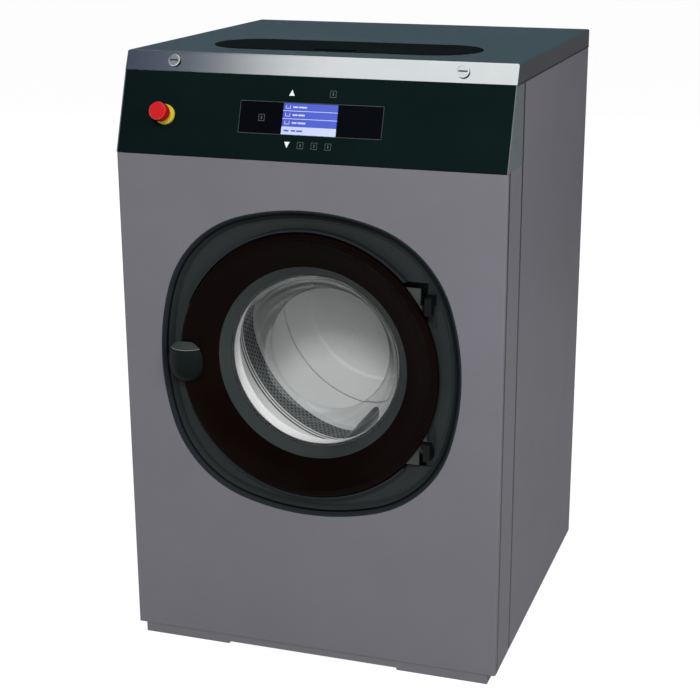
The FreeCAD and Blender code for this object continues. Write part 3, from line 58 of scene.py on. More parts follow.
# Places on the machine, taken from the frame, in metres
SIDE_X = end_of("right_side_panel", X)
FRONT_Y = start_of("front_panel", Y)
REAR_Y = end_of("rear_panel", Y)
BASE_TOP = end_of("base_frame", Z)
PANEL_TOP = start_of("control_chassis", Z)
LIP_Y = start_of("top_cover", Y)
LIP_Z = start_of("top_cover", Z)
DOOR_Z = middle_of("door_ring", Z)


# Colour and node helpers
def linear(code):
    """A written sRGB colour such as 706F75 as linear red, green, blue and alpha."""
    parts = [int(code[i:i + 2], 16) / 255 for i in (0, 2, 4)]
    return [p / 12.92 if p <= 0.04045 else ((p + 0.055) / 1.055) ** 2.4 for p in parts] + [1.0]


def add(tree, kind, settings=None, links=None, **attributes):
    """A node of that kind in the tree, with its attributes, socket values and incoming links.
    A socket goes by its name, or by its number where several share a name."""
    made = tree.nodes.new(kind)
    for name, setting in attributes.items():
        setattr(made, name, setting)
    for socket, setting in (settings or {}).items():
        made.inputs[socket].default_value = setting
    for socket, source in (links or {}).items():
        tree.links.new(source, made.inputs[socket])
    return made


def new_material(name):
    """A material with an empty tree."""
    material = bpy.data.materials.new(name)
    material.use_nodes = True
    material.node_tree.nodes.clear()
    return material, material.node_tree


# Stretch of a grain, and axes along which a finish changes
EVEN = (1, 1, 1)
BRUSHED_X = (0.02, 1, 1)
BRUSHED_Y = (1, 0.02, 1)
ALONG_X = (1, 0, 0)
ALONG_Y = (0, 1, 0)
ALONG_Z = (0, 0, 1)
OUT_OF_LIP = (0, -0.9179, 0.3969)

# Width in millimetres of the clouds in which a colour drifts, as on sprayed and rolled faces
CLOUD = 170


def grain(tree, size, stretch=EVEN, detail=3.0):
    """Noise with grains of a size in millimetres, longer along an axis where a stretch is below one."""
    place = add(tree, "ShaderNodeTexCoord").outputs["Object"]
    shaped = add(tree, "ShaderNodeMapping", {"Scale": stretch}, {"Vector": place})
    noise = add(tree, "ShaderNodeTexNoise", {"Scale": 1000 / size, "Detail": detail, "Roughness": 0.6},
                {"Vector": shaped.outputs["Vector"]})
    return noise.outputs["Fac"]


def along(tree, axis, low, high):
    """A factor that runs from 0 to 1 between two places along an axis of the object, in metres."""
    place = add(tree, "ShaderNodeTexCoord").outputs["Object"]
    part = add(tree, "ShaderNodeVectorMath", {1: axis}, {0: place}, operation="DOT_PRODUCT")
    share = add(tree, "ShaderNodeMapRange", {"From Min": low, "From Max": high},
                {"Value": part.outputs["Value"]})
    return share.outputs["Result"]


def surface(name, shades, rough, size, stretch=EVEN, bump=0.02, band=None, sheen=0.5, **fixed):
    """A surface whose roughness and relief follow a grain of a size in millimetres. Its colour drifts
    between two shades or, where a band gives an axis, changes at places in metres along that axis."""
    material, tree = new_material(name)
    if band:
        low, high = shades[0][0], shades[-1][0]
        factor = along(tree, band, low, high)
        stops = [((place - low) / (high - low), code) for place, code in shades]
    else:
        factor = grain(tree, CLOUD)
        stops = [(0.3, shades[0]), (0.7, shades[1])]
    drift = add(tree, "ShaderNodeValToRGB", links={"Fac": factor})
    colours = drift.color_ramp.elements
    while len(colours) < len(stops):
        colours.new(0.5)
    for colour, (place, code) in zip(colours, stops):
        colour.position = place
        colour.color = linear(code)
    texture = grain(tree, size, stretch, 4.0)
    gloss = add(tree, "ShaderNodeMapRange", {"To Min": rough[0], "To Max": rough[1]}, {"Value": texture})
    relief = add(tree, "ShaderNodeBump", {"Strength": bump, "Distance": 0.001}, {"Height": texture})
    shader = add(tree, "ShaderNodeBsdfPrincipled", {"Specular IOR Level": sheen, **fixed},
                 {"Base Color": drift.outputs["Color"], "Roughness": gloss.outputs["Result"],
                  "Normal": relief.outputs["Normal"]})
    add(tree, "ShaderNodeOutputMaterial", links={"Surface": shader.outputs["BSDF"]})
    return material


def pressed_glass():
    """Clear pressed glass: faint waves, little sheen, and light passes through it to the drum."""
    material, tree = new_material("pressed_glass")
    ripple = add(tree, "ShaderNodeBump", {"Strength": 0.02, "Distance": 0.001}, {"Height": grain(tree, 33)})
    gloss = add(tree, "ShaderNodeMapRange", {"To Min": 0.0, "To Max": 0.015}, {"Value": grain(tree, 5)})
    glass = add(tree, "ShaderNodeBsdfPrincipled",
                {"Base Color": linear("FCFCFC"), "Transmission Weight": 1.0, "IOR": 1.48,
                 "Specular IOR Level": 0.15},
                {"Roughness": gloss.outputs["Result"], "Normal": ripple.outputs["Normal"]})
    clear = add(tree, "ShaderNodeBsdfTransparent", {"Color": linear("FDFDFD")})
    ray = add(tree, "ShaderNodeLightPath")
    mixed = add(tree, "ShaderNodeMixShader",
                links={"Fac": ray.outputs["Is Shadow Ray"], 1: glass.outputs["BSDF"],
                       2: clear.outputs["BSDF"]})
    add(tree, "ShaderNodeOutputMaterial", links={"Surface": mixed.outputs["Shader"]})
    return material


# Colours that change along a piece, each from its place in metres
# Rim, a black line of painted shadow round the wall, and foot and floor of the door surround,
# from the front to the back
SURROUND_SHADES_WITH_SHADOW = [(-0.3811, "1F2327"), (-0.3806, "030404"), (-0.3778, "030404"), (-0.3768, "272B2C")]
# Punched front field of the drum wall, a bright band of painted highlight crossed by two dark lines at its
# beads, the punched rear field in a darker grey, and the plain rear end
FRONT_FIELD, HIGHLIGHT_BAND, BEAD, REAR_FIELD, REAR_END = "B4B8B9", "F4F5F5", "1C1F20", "74787A", "D8DADA"
DRUM_SHADES = [
    (-0.060, FRONT_FIELD), (-0.052, HIGHLIGHT_BAND),
    (-0.017, HIGHLIGHT_BAND), (-0.0125, BEAD), (-0.009, BEAD), (-0.006, HIGHLIGHT_BAND),
    (-0.001, HIGHLIGHT_BAND), (0.001, BEAD), (0.004, BEAD), (0.007, HIGHLIGHT_BAND),
    (0.010, HIGHLIGHT_BAND), (0.013, REAR_FIELD), (0.082, REAR_FIELD), (0.086, REAR_END),
]
# Painted shade in the slots and down the rims of the locks, then their faces
LOCK_SHADES = [(0.7868, "0C0E0F"), (0.7870, "E8ECED")]
# Painted shade under the grip, its front, and a painted highlight on the top over its brow
GRIP_SHADES = [(0.608, "0B0E0E"), (0.6593, "161C1B"), (0.6624, "343B38")]
# Leaves of the hinge, then the knuckles
HINGE_SHADES = [(0.2338, "3C4140"), (0.2362, "0A0B0C")]
# Eyes of the hinge bracket, then the plate that they stand on
BRACKET_SHADES = [(-0.3696, "0A0B0C"), (-0.3664, "24282A")]

# Finishes. Real grain is about a tenth of a millimetre, too fine to show in the render, so each one here is
# drawn at about one to four millimetres, as coarse as it needs to show.
finishes = {
    # Powder coat baked on sheet steel: a flat satin grey without clear reflections
    "grey_paint": surface("grey_powder_coat", ("6D6C72", "716F76"), (0.56, 0.66), 1.1, bump=0.03,
                          sheen=0.08),
    # Stainless of the top, brushed along its width: it mirrors the room in a soft blur
    "stainless": surface("brushed_stainless", ("D8DDDF", "E2E6E7"), (0.15, 0.22), 2, BRUSHED_X, 0.015,
                         Metallic=1.0),
    # Enamel on the cheeks beside the fascia: greyer and a little smoother than the powder coat
    "cheek_enamel": surface("cheek_enamel", ("5F6668", "656C6E"), (0.5, 0.6), 1.1, sheen=0.08),
    # Turned steel of the quarter-turn locks: bright faces, rims and slots black with painted shade
    "lock_steel": surface("turned_steel", LOCK_SHADES, (0.24, 0.32), 2.5, bump=0.01, band=OUT_OF_LIP,
                          Metallic=1.0),
    # Satin paint on the bearing stand and the motor mount: near black with a soft sheen
    "dark_steel": surface("dark_satin_paint", ("2A3033", "31383B"), (0.4, 0.5), 1.4),
    # Zinc plate and bright steel of pins, shafts, bearings and screws: a pale, slightly clouded metal
    "bright_steel": surface("zinc_plate", ("BFC4C6", "D8DCDC"), (0.22, 0.34), 3.3, Metallic=1.0),
    # Printed film over the control panel: green-black, with almost no sheen
    "fascia_black": surface("fascia_film", ("0A1616", "0D1919"), (0.34, 0.42), 0.8, bump=0.01, sheen=0.015),
    # Lit display under smooth acrylic: an even blue that glows a little
    "display_glass": surface("blue_display", ("4655B2", "4E5EB8"), (0.16, 0.22), 0.7, bump=0.0, sheen=0.2,
                             **{"Emission Color": linear("3C4CC4"), "Emission Strength": 0.15}),
    # Lacquer of the circuit board: a glossy dark green
    "board_green": surface("board_lacquer", ("12402A", "1A5236"), (0.3, 0.45), 2.5),
    # Moulded plastic of the emergency stop: strong colours with a smooth shine
    "stop_red": surface("red_moulding", ("BC161B", "C8191E"), (0.22, 0.3), 1.25, bump=0.01),
    "stop_yellow": surface("yellow_moulding", ("CDBB33", "D9C83C"), (0.3, 0.4), 1.25, bump=0.01),
    # Plastic from a grained mould, on pipes, valves and fittings: a dull charcoal
    "black_plastic": surface("black_moulding", ("202528", "292E31"), (0.38, 0.5), 0.9, bump=0.05,
                             sheen=0.15),
    # Plastic from a polished mould, on the door ring: a smooth brown-black
    "gloss_black": surface("polished_black_moulding", ("080302", "0C0504"), (0.34, 0.42), 2, bump=0.005,
                           sheen=0.03),
    # Grained plastic of the grip: painted shade below, with a painted highlight on the top over its brow
    "grip_black": surface("grip_moulding", GRIP_SHADES, (0.32, 0.42), 1.1, bump=0.03, band=ALONG_Z,
                          sheen=0.05),
    # Grained plastic of the surround: charcoal, with a black line of painted shadow round its wall
    "surround_black": surface("surround_moulding", SURROUND_SHADES_WITH_SHADOW, (0.38, 0.5), 0.9, bump=0.05,
                              band=ALONG_Y, sheen=0.12),
    # Painted steel leaves of the hinge: satin grey, near black at the knuckles
    "hinge_steel": surface("hinge_leaf_steel", HINGE_SHADES, (0.4, 0.5), 2, band=ALONG_X, sheen=0.12),
    # Painted steel of the hinge bracket: charcoal, near black on the eyes that stand out of it
    "bracket_paint": surface("painted_bracket_steel", BRACKET_SHADES, (0.4, 0.5), 1.1, band=ALONG_Y,
                             sheen=0.12),
    # Satin plastic of the funnel round the glass: a dark grey that catches soft light
    "grey_plastic": surface("grey_moulding", ("262B2C", "2D3231"), (0.34, 0.44), 1.1, sheen=0.2),
    # Edge of the grip's brow: a pale grey line of painted highlight, where the edge catches the light
    "brow_highlight": surface("painted_brow_highlight", ("7C8281", "949A99"), (0.4, 0.5), 1.1),
    # Screen inks of the keys: a matt white and a dim grey
    "light_ink": surface("light_ink", ("DDE3E3", "E8ECEC"), (0.5, 0.6), 1.1),
    "dim_ink": surface("dim_ink", ("4A5150", "565E5C"), (0.5, 0.6), 1.1),
    # Tinted film of the display's window: darker than the fascia and without relief
    "window_black": surface("window_film", ("06070B", "080A0F"), (0.3, 0.38), 0.8, bump=0.0, sheen=0.015),
    # Lit signs on the display: a pale violet-blue
    "pale_display": surface("pale_display", ("BEC6F0", "C9D0F4"), (0.3, 0.4), 1.1),
    # Inside of punched holes and screw sockets: dark and dull, the painted shade of the recess
    "hole_shade": surface("painted_hole_shade", ("15181A", "202426"), (0.6, 0.7), 3.3),
    # Grained plastic of the soap hopper and its lid: the deepest black on the top
    "lid_black": surface("black_lid_moulding", ("050607", "090B0C"), (0.4, 0.5), 1, bump=0.04, sheen=0.02),
    # Rubber of seals, hoses and belts: a dull black with a soft grain, also on the strips of painted shade
    # over the seams
    "rubber": surface("black_rubber", ("131313", "1A1A1A"), (0.55, 0.7), 1.7, bump=0.06),
    # Paint over sand castings of the drive: rough and dark grey
    "cast_metal": surface("painted_casting", ("3A3D40", "45494C"), (0.5, 0.65), 4, bump=0.15),
    # Pressed glass of the door: the drum shows through it, slightly bent
    "clear_glass": pressed_glass(),
    # Polished stainless of the tub, lifters and door back ring: a mid-grey metal, brushed lengthwise
    "drum_steel": surface("polished_stainless", ("7E8284", "8E9394"), (0.36, 0.46), 3.8, BRUSHED_Y, 0.01,
                          Metallic=1.0),
    # Rolled stainless of the drum wall: pale, with a painted highlight band and dark lines at its beads
    "shell_steel": surface("rolled_stainless", DRUM_SHADES, (0.3, 0.4), 3.3, BRUSHED_X, 0.01, band=ALONG_Y,
                           Metallic=0.2),
    # Bright stainless of the drum's rolled mouth: a matt near-white that paints in its polished shine,
    # almost white in the lamp's light
    "mouth_steel": surface("bright_stainless", ("F8F9F9", "FCFCFC"), (0.2, 0.3), 3.3, BRUSHED_Y, 0.01),
    # Satin stainless of the drum's back: a light grey disc
    "satin_steel": surface("satin_stainless", ("D0D3D3", "D8DADA"), (0.3, 0.4), 3.3, BRUSHED_X, 0.01),
}

# Pieces whose finish differs from that of their slot
own_finish = {
    "drum_shell": "shell_steel", "drum_front": "mouth_steel", "drum_back": "satin_steel",
    "drum_lifters": "drum_steel", "tub_shell": "drum_steel", "tub_front": "drum_steel",
    "door_back_ring": "drum_steel", "hinge_leaves": "hinge_steel", "hinge_bracket": "bracket_paint",
    "door_surround": "surround_black", "control_chassis": "cheek_enamel", "left_cam_lock": "lock_steel",
    "right_cam_lock": "lock_steel", "lock_sleeves": "lock_steel",
    "soap_lid": "lid_black", "soap_hopper": "lid_black", "door_handle": "grip_black",
}
slot_of = {part["node"]: part["material_slot"] for part in frame["record"]["subparts"]}
for name, piece in nodes.items():
    chosen = finishes[own_finish.get(name, slot_of[name])]
    piece.data.materials.clear()
    piece.data.materials.append(chosen)


def new_piece(name, mesh, finish, body):
    """A mesh as a piece of the machine, in its finish and on its body."""
    mesh.materials.clear()
    mesh.materials.append(finishes[finish])
    made = bpy.data.objects.new(name, mesh)
    bpy.context.scene.collection.objects.link(made)
    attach(made, body)
    return made


# Flat prints on the fascia, which leans back from the front panel to the lip
FASCIA_SET = LIP_Y - FRONT_Y
SLOPE = math.hypot(FASCIA_SET, LIP_Z - PANEL_TOP)
UP = Vector((0, FASCIA_SET, LIP_Z - PANEL_TOP)) / SLOPE
OUT = Vector((0, PANEL_TOP - LIP_Z, FASCIA_SET)) / SLOPE

# Lift of each layer of print off the film
WINDOW_LIFT = 0.0002
INK_LIFT = 0.0003
CHOSEN_LIFT = 0.0004

# Left, bottom, right and top of the dark window and of the display in it
WINDOW = (-0.1435, 1.0985, 0.1475, 1.158)
WINDOW_LINE = 0.0006
LCD_LEFT, LCD_LOW, LCD_RIGHT, LCD_TOP = (-0.0545, 1.0994, 0.0565, 1.1568)

# Rows of the display: their height and rules, and the sizes and places of the signs and words in them
ROW = (LCD_TOP - LCD_LOW) / 4
RULE_HALF = 0.0006
ROW_FOOT = 0.004
SIGN_LEFT = 0.005
SIGN_WIDTH = 0.010
SIGN_HEIGHT = 0.0065
SIGN_LINE = 0.0012
WORD_FOOT = 0.0015
WORD_TOP = 0.0045
CHOSEN_WORDS = [(0.005, 0.015), (0.020, 0.029), (0.031, 0.043)]
SHORT_WORDS = [(0.020, 0.030), (0.032, 0.045)]
LONG_WORDS = [(0.020, 0.030), (0.032, 0.048)]
ROW_WORDS = {1: LONG_WORDS, 2: SHORT_WORDS, 3: LONG_WORDS}

# Touch keys: arrows above and below the display, and square keys round it
ARROW_X = -0.040
ARROW_HALF = 0.0056
UP_ARROW_Z = 1.1755
LOW_KEYS_Z = 1.0805
KEYS = [(0.0435, 1.176), (-0.0975, 1.128), (-0.0125, LOW_KEYS_Z), (0.0155, LOW_KEYS_Z), (0.0435, LOW_KEYS_Z)]
KEY_HALF = 0.0062
KEY_LINE = 0.0008
STROKE_HALF_WIDTH = 0.001
STROKE_HALF_HEIGHT = 0.003


def on_fascia(x, z, lift):
    """The point of the film at x across and z above the floor, lifted off it."""
    rise = (z - PANEL_TOP) * SLOPE / (LIP_Z - PANEL_TOP)
    return Vector((x, FRONT_Y, PANEL_TOP)) + UP * rise + OUT * lift


def bar(x0, z0, x1, z1):
    """The corners of a rectangle, anticlockwise."""
    return [(x0, z0), (x1, z0), (x1, z1), (x0, z1)]


def outline(x0, z0, x1, z1, line):
    """A thin rectangular frame as four bars."""
    return [bar(x0, z0, x1, z0 + line), bar(x0, z1 - line, x1, z1),
            bar(x0, z0 + line, x0 + line, z1 - line), bar(x1 - line, z0 + line, x1, z1 - line)]


def prints(name, shapes, finish, lift=INK_LIFT):
    """Flat shapes of ink on the film, each a list of (x, height) corners, anticlockwise."""
    points, faces = [], []
    for shape in shapes:
        faces.append(list(range(len(points), len(points) + len(shape))))
        points += [on_fascia(x, z, lift) for x, z in shape]
    mesh = bpy.data.meshes.new(name)
    mesh.from_pydata(points, [], faces)
    return new_piece(name, mesh, finish, "cabinet")


def row_sign(row):
    """A small open box at the head of a row of the display: its floor and two walls."""
    left, low = LCD_LEFT + SIGN_LEFT, LCD_LOW + row * ROW + ROW_FOOT
    right, top, floor_top = left + SIGN_WIDTH, low + SIGN_HEIGHT, low + SIGN_LINE
    return [bar(left, low, right, floor_top),
            bar(left, floor_top, left + SIGN_LINE, top),
            bar(right - SIGN_LINE, floor_top, right, top)]


def row_words(row, spans):
    """Bars in place of words in a row of the display, each between two places across it."""
    low = LCD_LOW + row * ROW + ROW_FOOT
    return [bar(LCD_LEFT + start, low + WORD_FOOT, LCD_LEFT + stop, low + WORD_TOP) for start, stop in spans]


def display_prints():
    """The dark window with its frame, and the rows of the display, of which the lowest is the chosen one."""
    left, low, right, top = WINDOW
    prints("display_window", [bar(left, low, LCD_LEFT, top), bar(LCD_RIGHT, low, right, top)],
           "window_black", WINDOW_LIFT)
    prints("display_frame_line", outline(*WINDOW, WINDOW_LINE), "dim_ink")
    lit = [bar(LCD_LEFT, LCD_LOW, LCD_RIGHT, LCD_LOW + ROW)]
    for row in (2, 3):
        rule = LCD_LOW + row * ROW
        lit.append(bar(LCD_LEFT, rule - RULE_HALF, LCD_RIGHT, rule + RULE_HALF))
    for row, words in ROW_WORDS.items():
        lit += row_sign(row) + row_words(row, words)
    prints("display_rows", lit, "pale_display")
    prints("display_chosen_row", row_words(0, CHOSEN_WORDS), "display_glass", CHOSEN_LIFT)


def key_prints():
    """The touch keys: two arrows, and squares with a stroke in each."""
    left, right = ARROW_X - ARROW_HALF, ARROW_X + ARROW_HALF
    low, top = UP_ARROW_Z - ARROW_HALF, UP_ARROW_Z + ARROW_HALF
    up = [(left, low), (right, low), (ARROW_X, top)]
    low, top = LOW_KEYS_Z - ARROW_HALF, LOW_KEYS_Z + ARROW_HALF
    down = [(left, top), (ARROW_X, low), (right, top)]
    prints("arrow_keys", [up, down], "light_ink")
    frames, strokes = [], []
    for x, z in KEYS:
        frames += outline(x - KEY_HALF, z - KEY_HALF, x + KEY_HALF, z + KEY_HALF, KEY_LINE)
        strokes.append(bar(x - STROKE_HALF_WIDTH, z - STROKE_HALF_HEIGHT,
                           x + STROKE_HALF_WIDTH, z + STROKE_HALF_HEIGHT))
    prints("square_keys", frames + strokes, "dim_ink")


display_prints()
key_prints()

# Strips of painted shade over the seams of both sides: their lift off the sheets, the half widths of the
# upright ones, and how far the others reach below and above the edges beside them
STRIP_LIFT = 0.0003
PANEL_STRIP_HALF = 0.004
POST_STRIP_HALF = 0.0035
CHEEK_STRIP_HALF = 0.0045
PANEL_STRIP_DROP = 0.0005
TOP_STRIP_DROP = 0.0025
TOP_STRIP_RISE = 0.0002


def upright_shade_strip(ahead, behind, half, low, top):
    """A strip of painted shade over the gap between two pieces, one behind the other."""
    seam = (end_of(ahead, Y) + start_of(behind, Y)) / 2
    return bar(seam - half, low, seam + half, top)


def seam_shade_strips():
    """Thin black strips of painted shade over the gaps behind the front panel, the corner post and the
    cheek, and under the top cover.
    """
    panel_strip_top = PANEL_TOP - PANEL_STRIP_DROP
    top_strip_foot = LIP_Z - TOP_STRIP_DROP
    shade_strips = [
        upright_shade_strip("front_panel", "left_corner_post", PANEL_STRIP_HALF, BASE_TOP, panel_strip_top),
        upright_shade_strip("left_corner_post", "left_side_panel", POST_STRIP_HALF, BASE_TOP, PANEL_TOP),
        upright_shade_strip("control_chassis", "left_side_panel", CHEEK_STRIP_HALF, PANEL_TOP, top_strip_foot),
        bar(LIP_Y, top_strip_foot, REAR_Y, LIP_Z + TOP_STRIP_RISE),
    ]
    points, faces = [], []
    for shade_strip in shade_strips:
        for side in (-1, 1):
            first = len(points)
            points += [(side * (SIDE_X + STRIP_LIFT), y, z) for y, z in shade_strip]
            faces.append([first, first + 1, first + 2, first + 3][::side])
    mesh = bpy.data.meshes.new("seam_shade_strips")
    mesh.from_pydata(points, [], faces)
    new_piece("seam_shade_strips", mesh, "rubber", "cabinet")


seam_shade_strips()


# Repeated details, each laid out by geometry nodes and kept as a plain mesh
def node_group(name, sockets):
    """A geometry tree with named inputs and a geometry output, and the sockets that give those inputs."""
    tree = bpy.data.node_groups.new(name, "GeometryNodeTree")
    tree.interface.new_socket("Geometry", in_out="OUTPUT", socket_type="NodeSocketGeometry")
    for label, kind in sockets.items():
        tree.interface.new_socket(label, in_out="INPUT", socket_type=kind)
    return tree, add(tree, "NodeGroupInput").outputs


def as_one_mesh(tree, copies, finish):
    """The end of a tree: its copies made real, in their finish."""
    whole = add(tree, "GeometryNodeRealizeInstances", links={"Geometry": copies.outputs["Instances"]})
    dressed = add(tree, "GeometryNodeSetMaterial",
                  links={"Geometry": whole.outputs["Geometry"], "Material": finish})
    add(tree, "NodeGroupOutput", links={"Geometry": dressed.outputs["Geometry"]})


def laid_out(name, tree, values, source, finish, body):
    """The mesh that a geometry tree makes of the source points, as a plain piece."""
    holder = bpy.data.objects.new(name + "_points", source)
    bpy.context.scene.collection.objects.link(holder)
    modifier = holder.modifiers.new("layout", "NODES")
    modifier.node_group = tree
    for item in tree.interface.items_tree:
        if item.in_out == "INPUT" and item.name in values:
            modifier[item.identifier] = values[item.name]
    ready = holder.evaluated_get(bpy.context.evaluated_depsgraph_get())
    mesh = bpy.data.meshes.new_from_object(ready)
    mesh.name = name
    bpy.data.objects.remove(holder)
    return new_piece(name, mesh, finish, body)


# Punched fields of the drum wall: from its front end to the first ring, and the number of rings
DRUM_SHEET = 0.002
HOLE_LIFT = 0.0004
HOLES_ROUND = 168
HOLE_RADIUS = 0.0040
RING_PITCH = 0.0118
PUNCHED_FIELDS = {"drum_perforations": (0.013, 20), "rear_drum_perforations": (0.318, 6)}


def drum_holes():
    """Staggered rings of punched holes on the inside of the drum wall, each a dark disc of painted shade."""
    tree, inputs = node_group("punched_rings", {
        "Radius": "NodeSocketFloat", "Rings": "NodeSocketInt", "Holes": "NodeSocketInt",
        "First": "NodeSocketFloat", "Pitch": "NodeSocketFloat", "Hole Radius": "NodeSocketFloat",
        "Finish": "NodeSocketMaterial"})
    # Each sum has a name, an operation, and terms that are numbers, inputs or sums above it
    sums = [
        ("rings passed", "DIVIDE", "index", "Holes"),
        ("ring", "FLOOR", "rings passed"),
        ("place", "MODULO", "index", "Holes"),
        ("odd ring", "MODULO", "ring", 2),
        ("stagger", "MULTIPLY", "odd ring", 0.5),
        ("staggered place", "ADD", "place", "stagger"),
        ("way round", "MULTIPLY", "staggered place", 2 * math.pi),
        ("angle", "DIVIDE", "way round", "Holes"),
        ("depth", "MULTIPLY", "ring", "Pitch"),
        ("y", "ADD", "First", "depth"),
        ("sine", "SINE", "angle"),
        ("x", "MULTIPLY", "Radius", "sine"),
        ("cosine", "COSINE", "angle"),
        ("rise", "MULTIPLY", "Radius", "cosine"),
        ("z", "ADD", "rise", DOOR_Z),
        ("turn", "ADD", "angle", math.pi),
        ("count", "MULTIPLY", "Rings", "Holes"),
    ]
    found = {"index": add(tree, "GeometryNodeInputIndex").outputs["Index"]}
    for name, operation, *terms in sums:
        numbers, sources = {}, {}
        for at, term in enumerate(terms):
            if isinstance(term, str):
                sources[at] = found[term] if term in found else inputs[term]
            else:
                numbers[at] = term
        found[name] = add(tree, "ShaderNodeMath", numbers, sources, operation=operation).outputs["Value"]
    spot = add(tree, "ShaderNodeCombineXYZ", links={"X": found["x"], "Y": found["y"], "Z": found["z"]})
    turn = add(tree, "ShaderNodeCombineXYZ", links={"Y": found["turn"]})
    line = add(tree, "GeometryNodeMeshLine", links={"Count": found["count"]})
    moved = add(tree, "GeometryNodeSetPosition",
                links={"Geometry": line.outputs["Mesh"], "Position": spot.outputs["Vector"]})
    disc = add(tree, "GeometryNodeMeshCircle", {"Vertices": 8}, {"Radius": inputs["Hole Radius"]},
               fill_type="NGON")
    copies = add(tree, "GeometryNodeInstanceOnPoints",
                 links={"Points": moved.outputs["Geometry"], "Instance": disc.outputs["Mesh"],
                        "Rotation": turn.outputs["Vector"]})
    as_one_mesh(tree, copies, inputs["Finish"])
    radius = end_of("drum_shell", X) - DRUM_SHEET - HOLE_LIFT
    for name, (inset, rings) in PUNCHED_FIELDS.items():
        values = {"Radius": radius, "Rings": rings, "Holes": HOLES_ROUND,
                  "First": start_of("drum_shell", Y) + inset, "Pitch": RING_PITCH,
                  "Hole Radius": HOLE_RADIUS, "Finish": finishes["hole_shade"]}
        points = bpy.data.meshes.new(name + "_points")
        laid_out(name, tree, values, points, "hole_shade", "drum")


drum_holes()

# Screws of the back: heights down the side panels and the service cover, places along the top, the rise of
# those over its edge, and the margin of those in the cover
SIDE_SCREW_HEIGHTS = (0.06, 0.25, 0.55, 0.85, 1.165)
TOP_SCREW_PLACES = (-0.3, 0, 0.3)
TOP_SCREW_RISE = 0.0165
COVER_SCREW_HEIGHTS = (0.44, 0.66)
COVER_SCREW_MARGIN = 0.007

# Finish, number of sides, radius at the foot and at the top, and height of the heads and their sockets
SCREW_PARTS = {
    "rear_screws": ("bright_steel", 20, 0.0055, 0.0042, 0.0026),
    "rear_screw_sockets": ("hole_shade", 6, 0.0024, 0.0024, 0.00265),
}


def screw_places():
    """The feet of the rear screws: down both side panels, along the top and round the service cover."""
    panel_x = middle_of("right_side_panel", X)
    places = [(x, REAR_Y, z) for x in (-panel_x, panel_x) for z in SIDE_SCREW_HEIGHTS]
    places += [(x, REAR_Y, LIP_Z + TOP_SCREW_RISE) for x in TOP_SCREW_PLACES]
    cover_x = end_of("rear_service_cover", X) - COVER_SCREW_MARGIN
    cover_y = end_of("rear_service_cover", Y)
    low = start_of("rear_service_cover", Z) + COVER_SCREW_MARGIN
    top = end_of("rear_service_cover", Z) - COVER_SCREW_MARGIN
    places += [(x, cover_y, z) for x in (-cover_x, cover_x) for z in (low, *COVER_SCREW_HEIGHTS, top)]
    places += [(0, cover_y, z) for z in (low, top)]
    return places


def rear_screws():
    """Pan heads that hold the side panels, the top and the service cover, with their hexagon sockets as
    dark hexagons of painted shade.
    """
    tree, inputs = node_group("heads_on_points", {
        "Points": "NodeSocketGeometry", "Sides": "NodeSocketInt", "Radius": "NodeSocketFloat",
        "Top Radius": "NodeSocketFloat", "Height": "NodeSocketFloat", "Finish": "NodeSocketMaterial"})
    head = add(tree, "GeometryNodeMeshCone",
               links={"Vertices": inputs["Sides"], "Radius Bottom": inputs["Radius"],
                      "Radius Top": inputs["Top Radius"], "Depth": inputs["Height"]})
    copies = add(tree, "GeometryNodeInstanceOnPoints", {"Rotation": (-math.pi / 2, 0, 0)},
                 {"Points": inputs["Points"], "Instance": head.outputs["Mesh"]})
    as_one_mesh(tree, copies, inputs["Finish"])
    for name, (finish, sides, radius, top_radius, height) in SCREW_PARTS.items():
        values = {"Sides": sides, "Radius": radius, "Top Radius": top_radius, "Height": height,
                  "Finish": finishes[finish]}
        points = bpy.data.meshes.new(name + "_points")
        points.from_pydata(screw_places(), [], [])
        laid_out(name, tree, values, points, finish, "cabinet")


rear_screws()

# Brow of the grip: its height over the door's middle, half its width, how far it bulges, and the bead on it,
# which carries a painted highlight
BROW_RISE = 0.0204
BROW_HALF = 0.0314
BROW_BULGE = 0.0185
BEAD_RADIUS = 0.0005
BEAD_STEPS = 40
BEAD_SIDES = 6


def brow_line():
    """The light edge along the brow of the grip: a painted highlight on a fine bead along its arc."""
    radius = (BROW_HALF ** 2 + BROW_BULGE ** 2) / (2 * BROW_BULGE)
    reach = math.asin(BROW_HALF / radius)
    centre_x = middle_of("door_handle", X)
    centre_y = end_of("door_handle", Y) + radius - BROW_BULGE
    points, faces = [], []
    for step in range(BEAD_STEPS + 1):
        turn = -reach + 2 * reach * step / BEAD_STEPS
        for side in range(BEAD_SIDES):
            around = 2 * math.pi * side / BEAD_SIDES
            out = radius + BEAD_RADIUS * math.cos(around)
            points.append((centre_x + out * math.sin(turn), centre_y - out * math.cos(turn),
                           DOOR_Z + BROW_RISE + BEAD_RADIUS * math.sin(around)))
    for step in range(BEAD_STEPS):
        for side in range(BEAD_SIDES):
            here = step * BEAD_SIDES + side
            beside = step * BEAD_SIDES + (side + 1) % BEAD_SIDES
            faces.append((here, beside, beside + BEAD_SIDES, here + BEAD_SIDES))
    mesh = bpy.data.meshes.new("grip_brow_line")
    mesh.from_pydata(points, [], faces)
    new_piece("grip_brow_line", mesh, "brow_highlight", "handle")


brow_line()

# Studio: a white room to the camera, metal and glass, which lights the machine at a plain level
WHITE = (1, 1, 1, 1)
BACKDROP_LIGHT = 1.0
ROOM_LIGHT = 0.38
LIGHT_THROUGH_GLASS = 0.05
FLOOR_SIZE = 40
FLOOR_GLOW = 0.92
FLOOR_SHADE = (0.16, 0.16, 0.16, 1)
DARK_RADIUS = 0.345


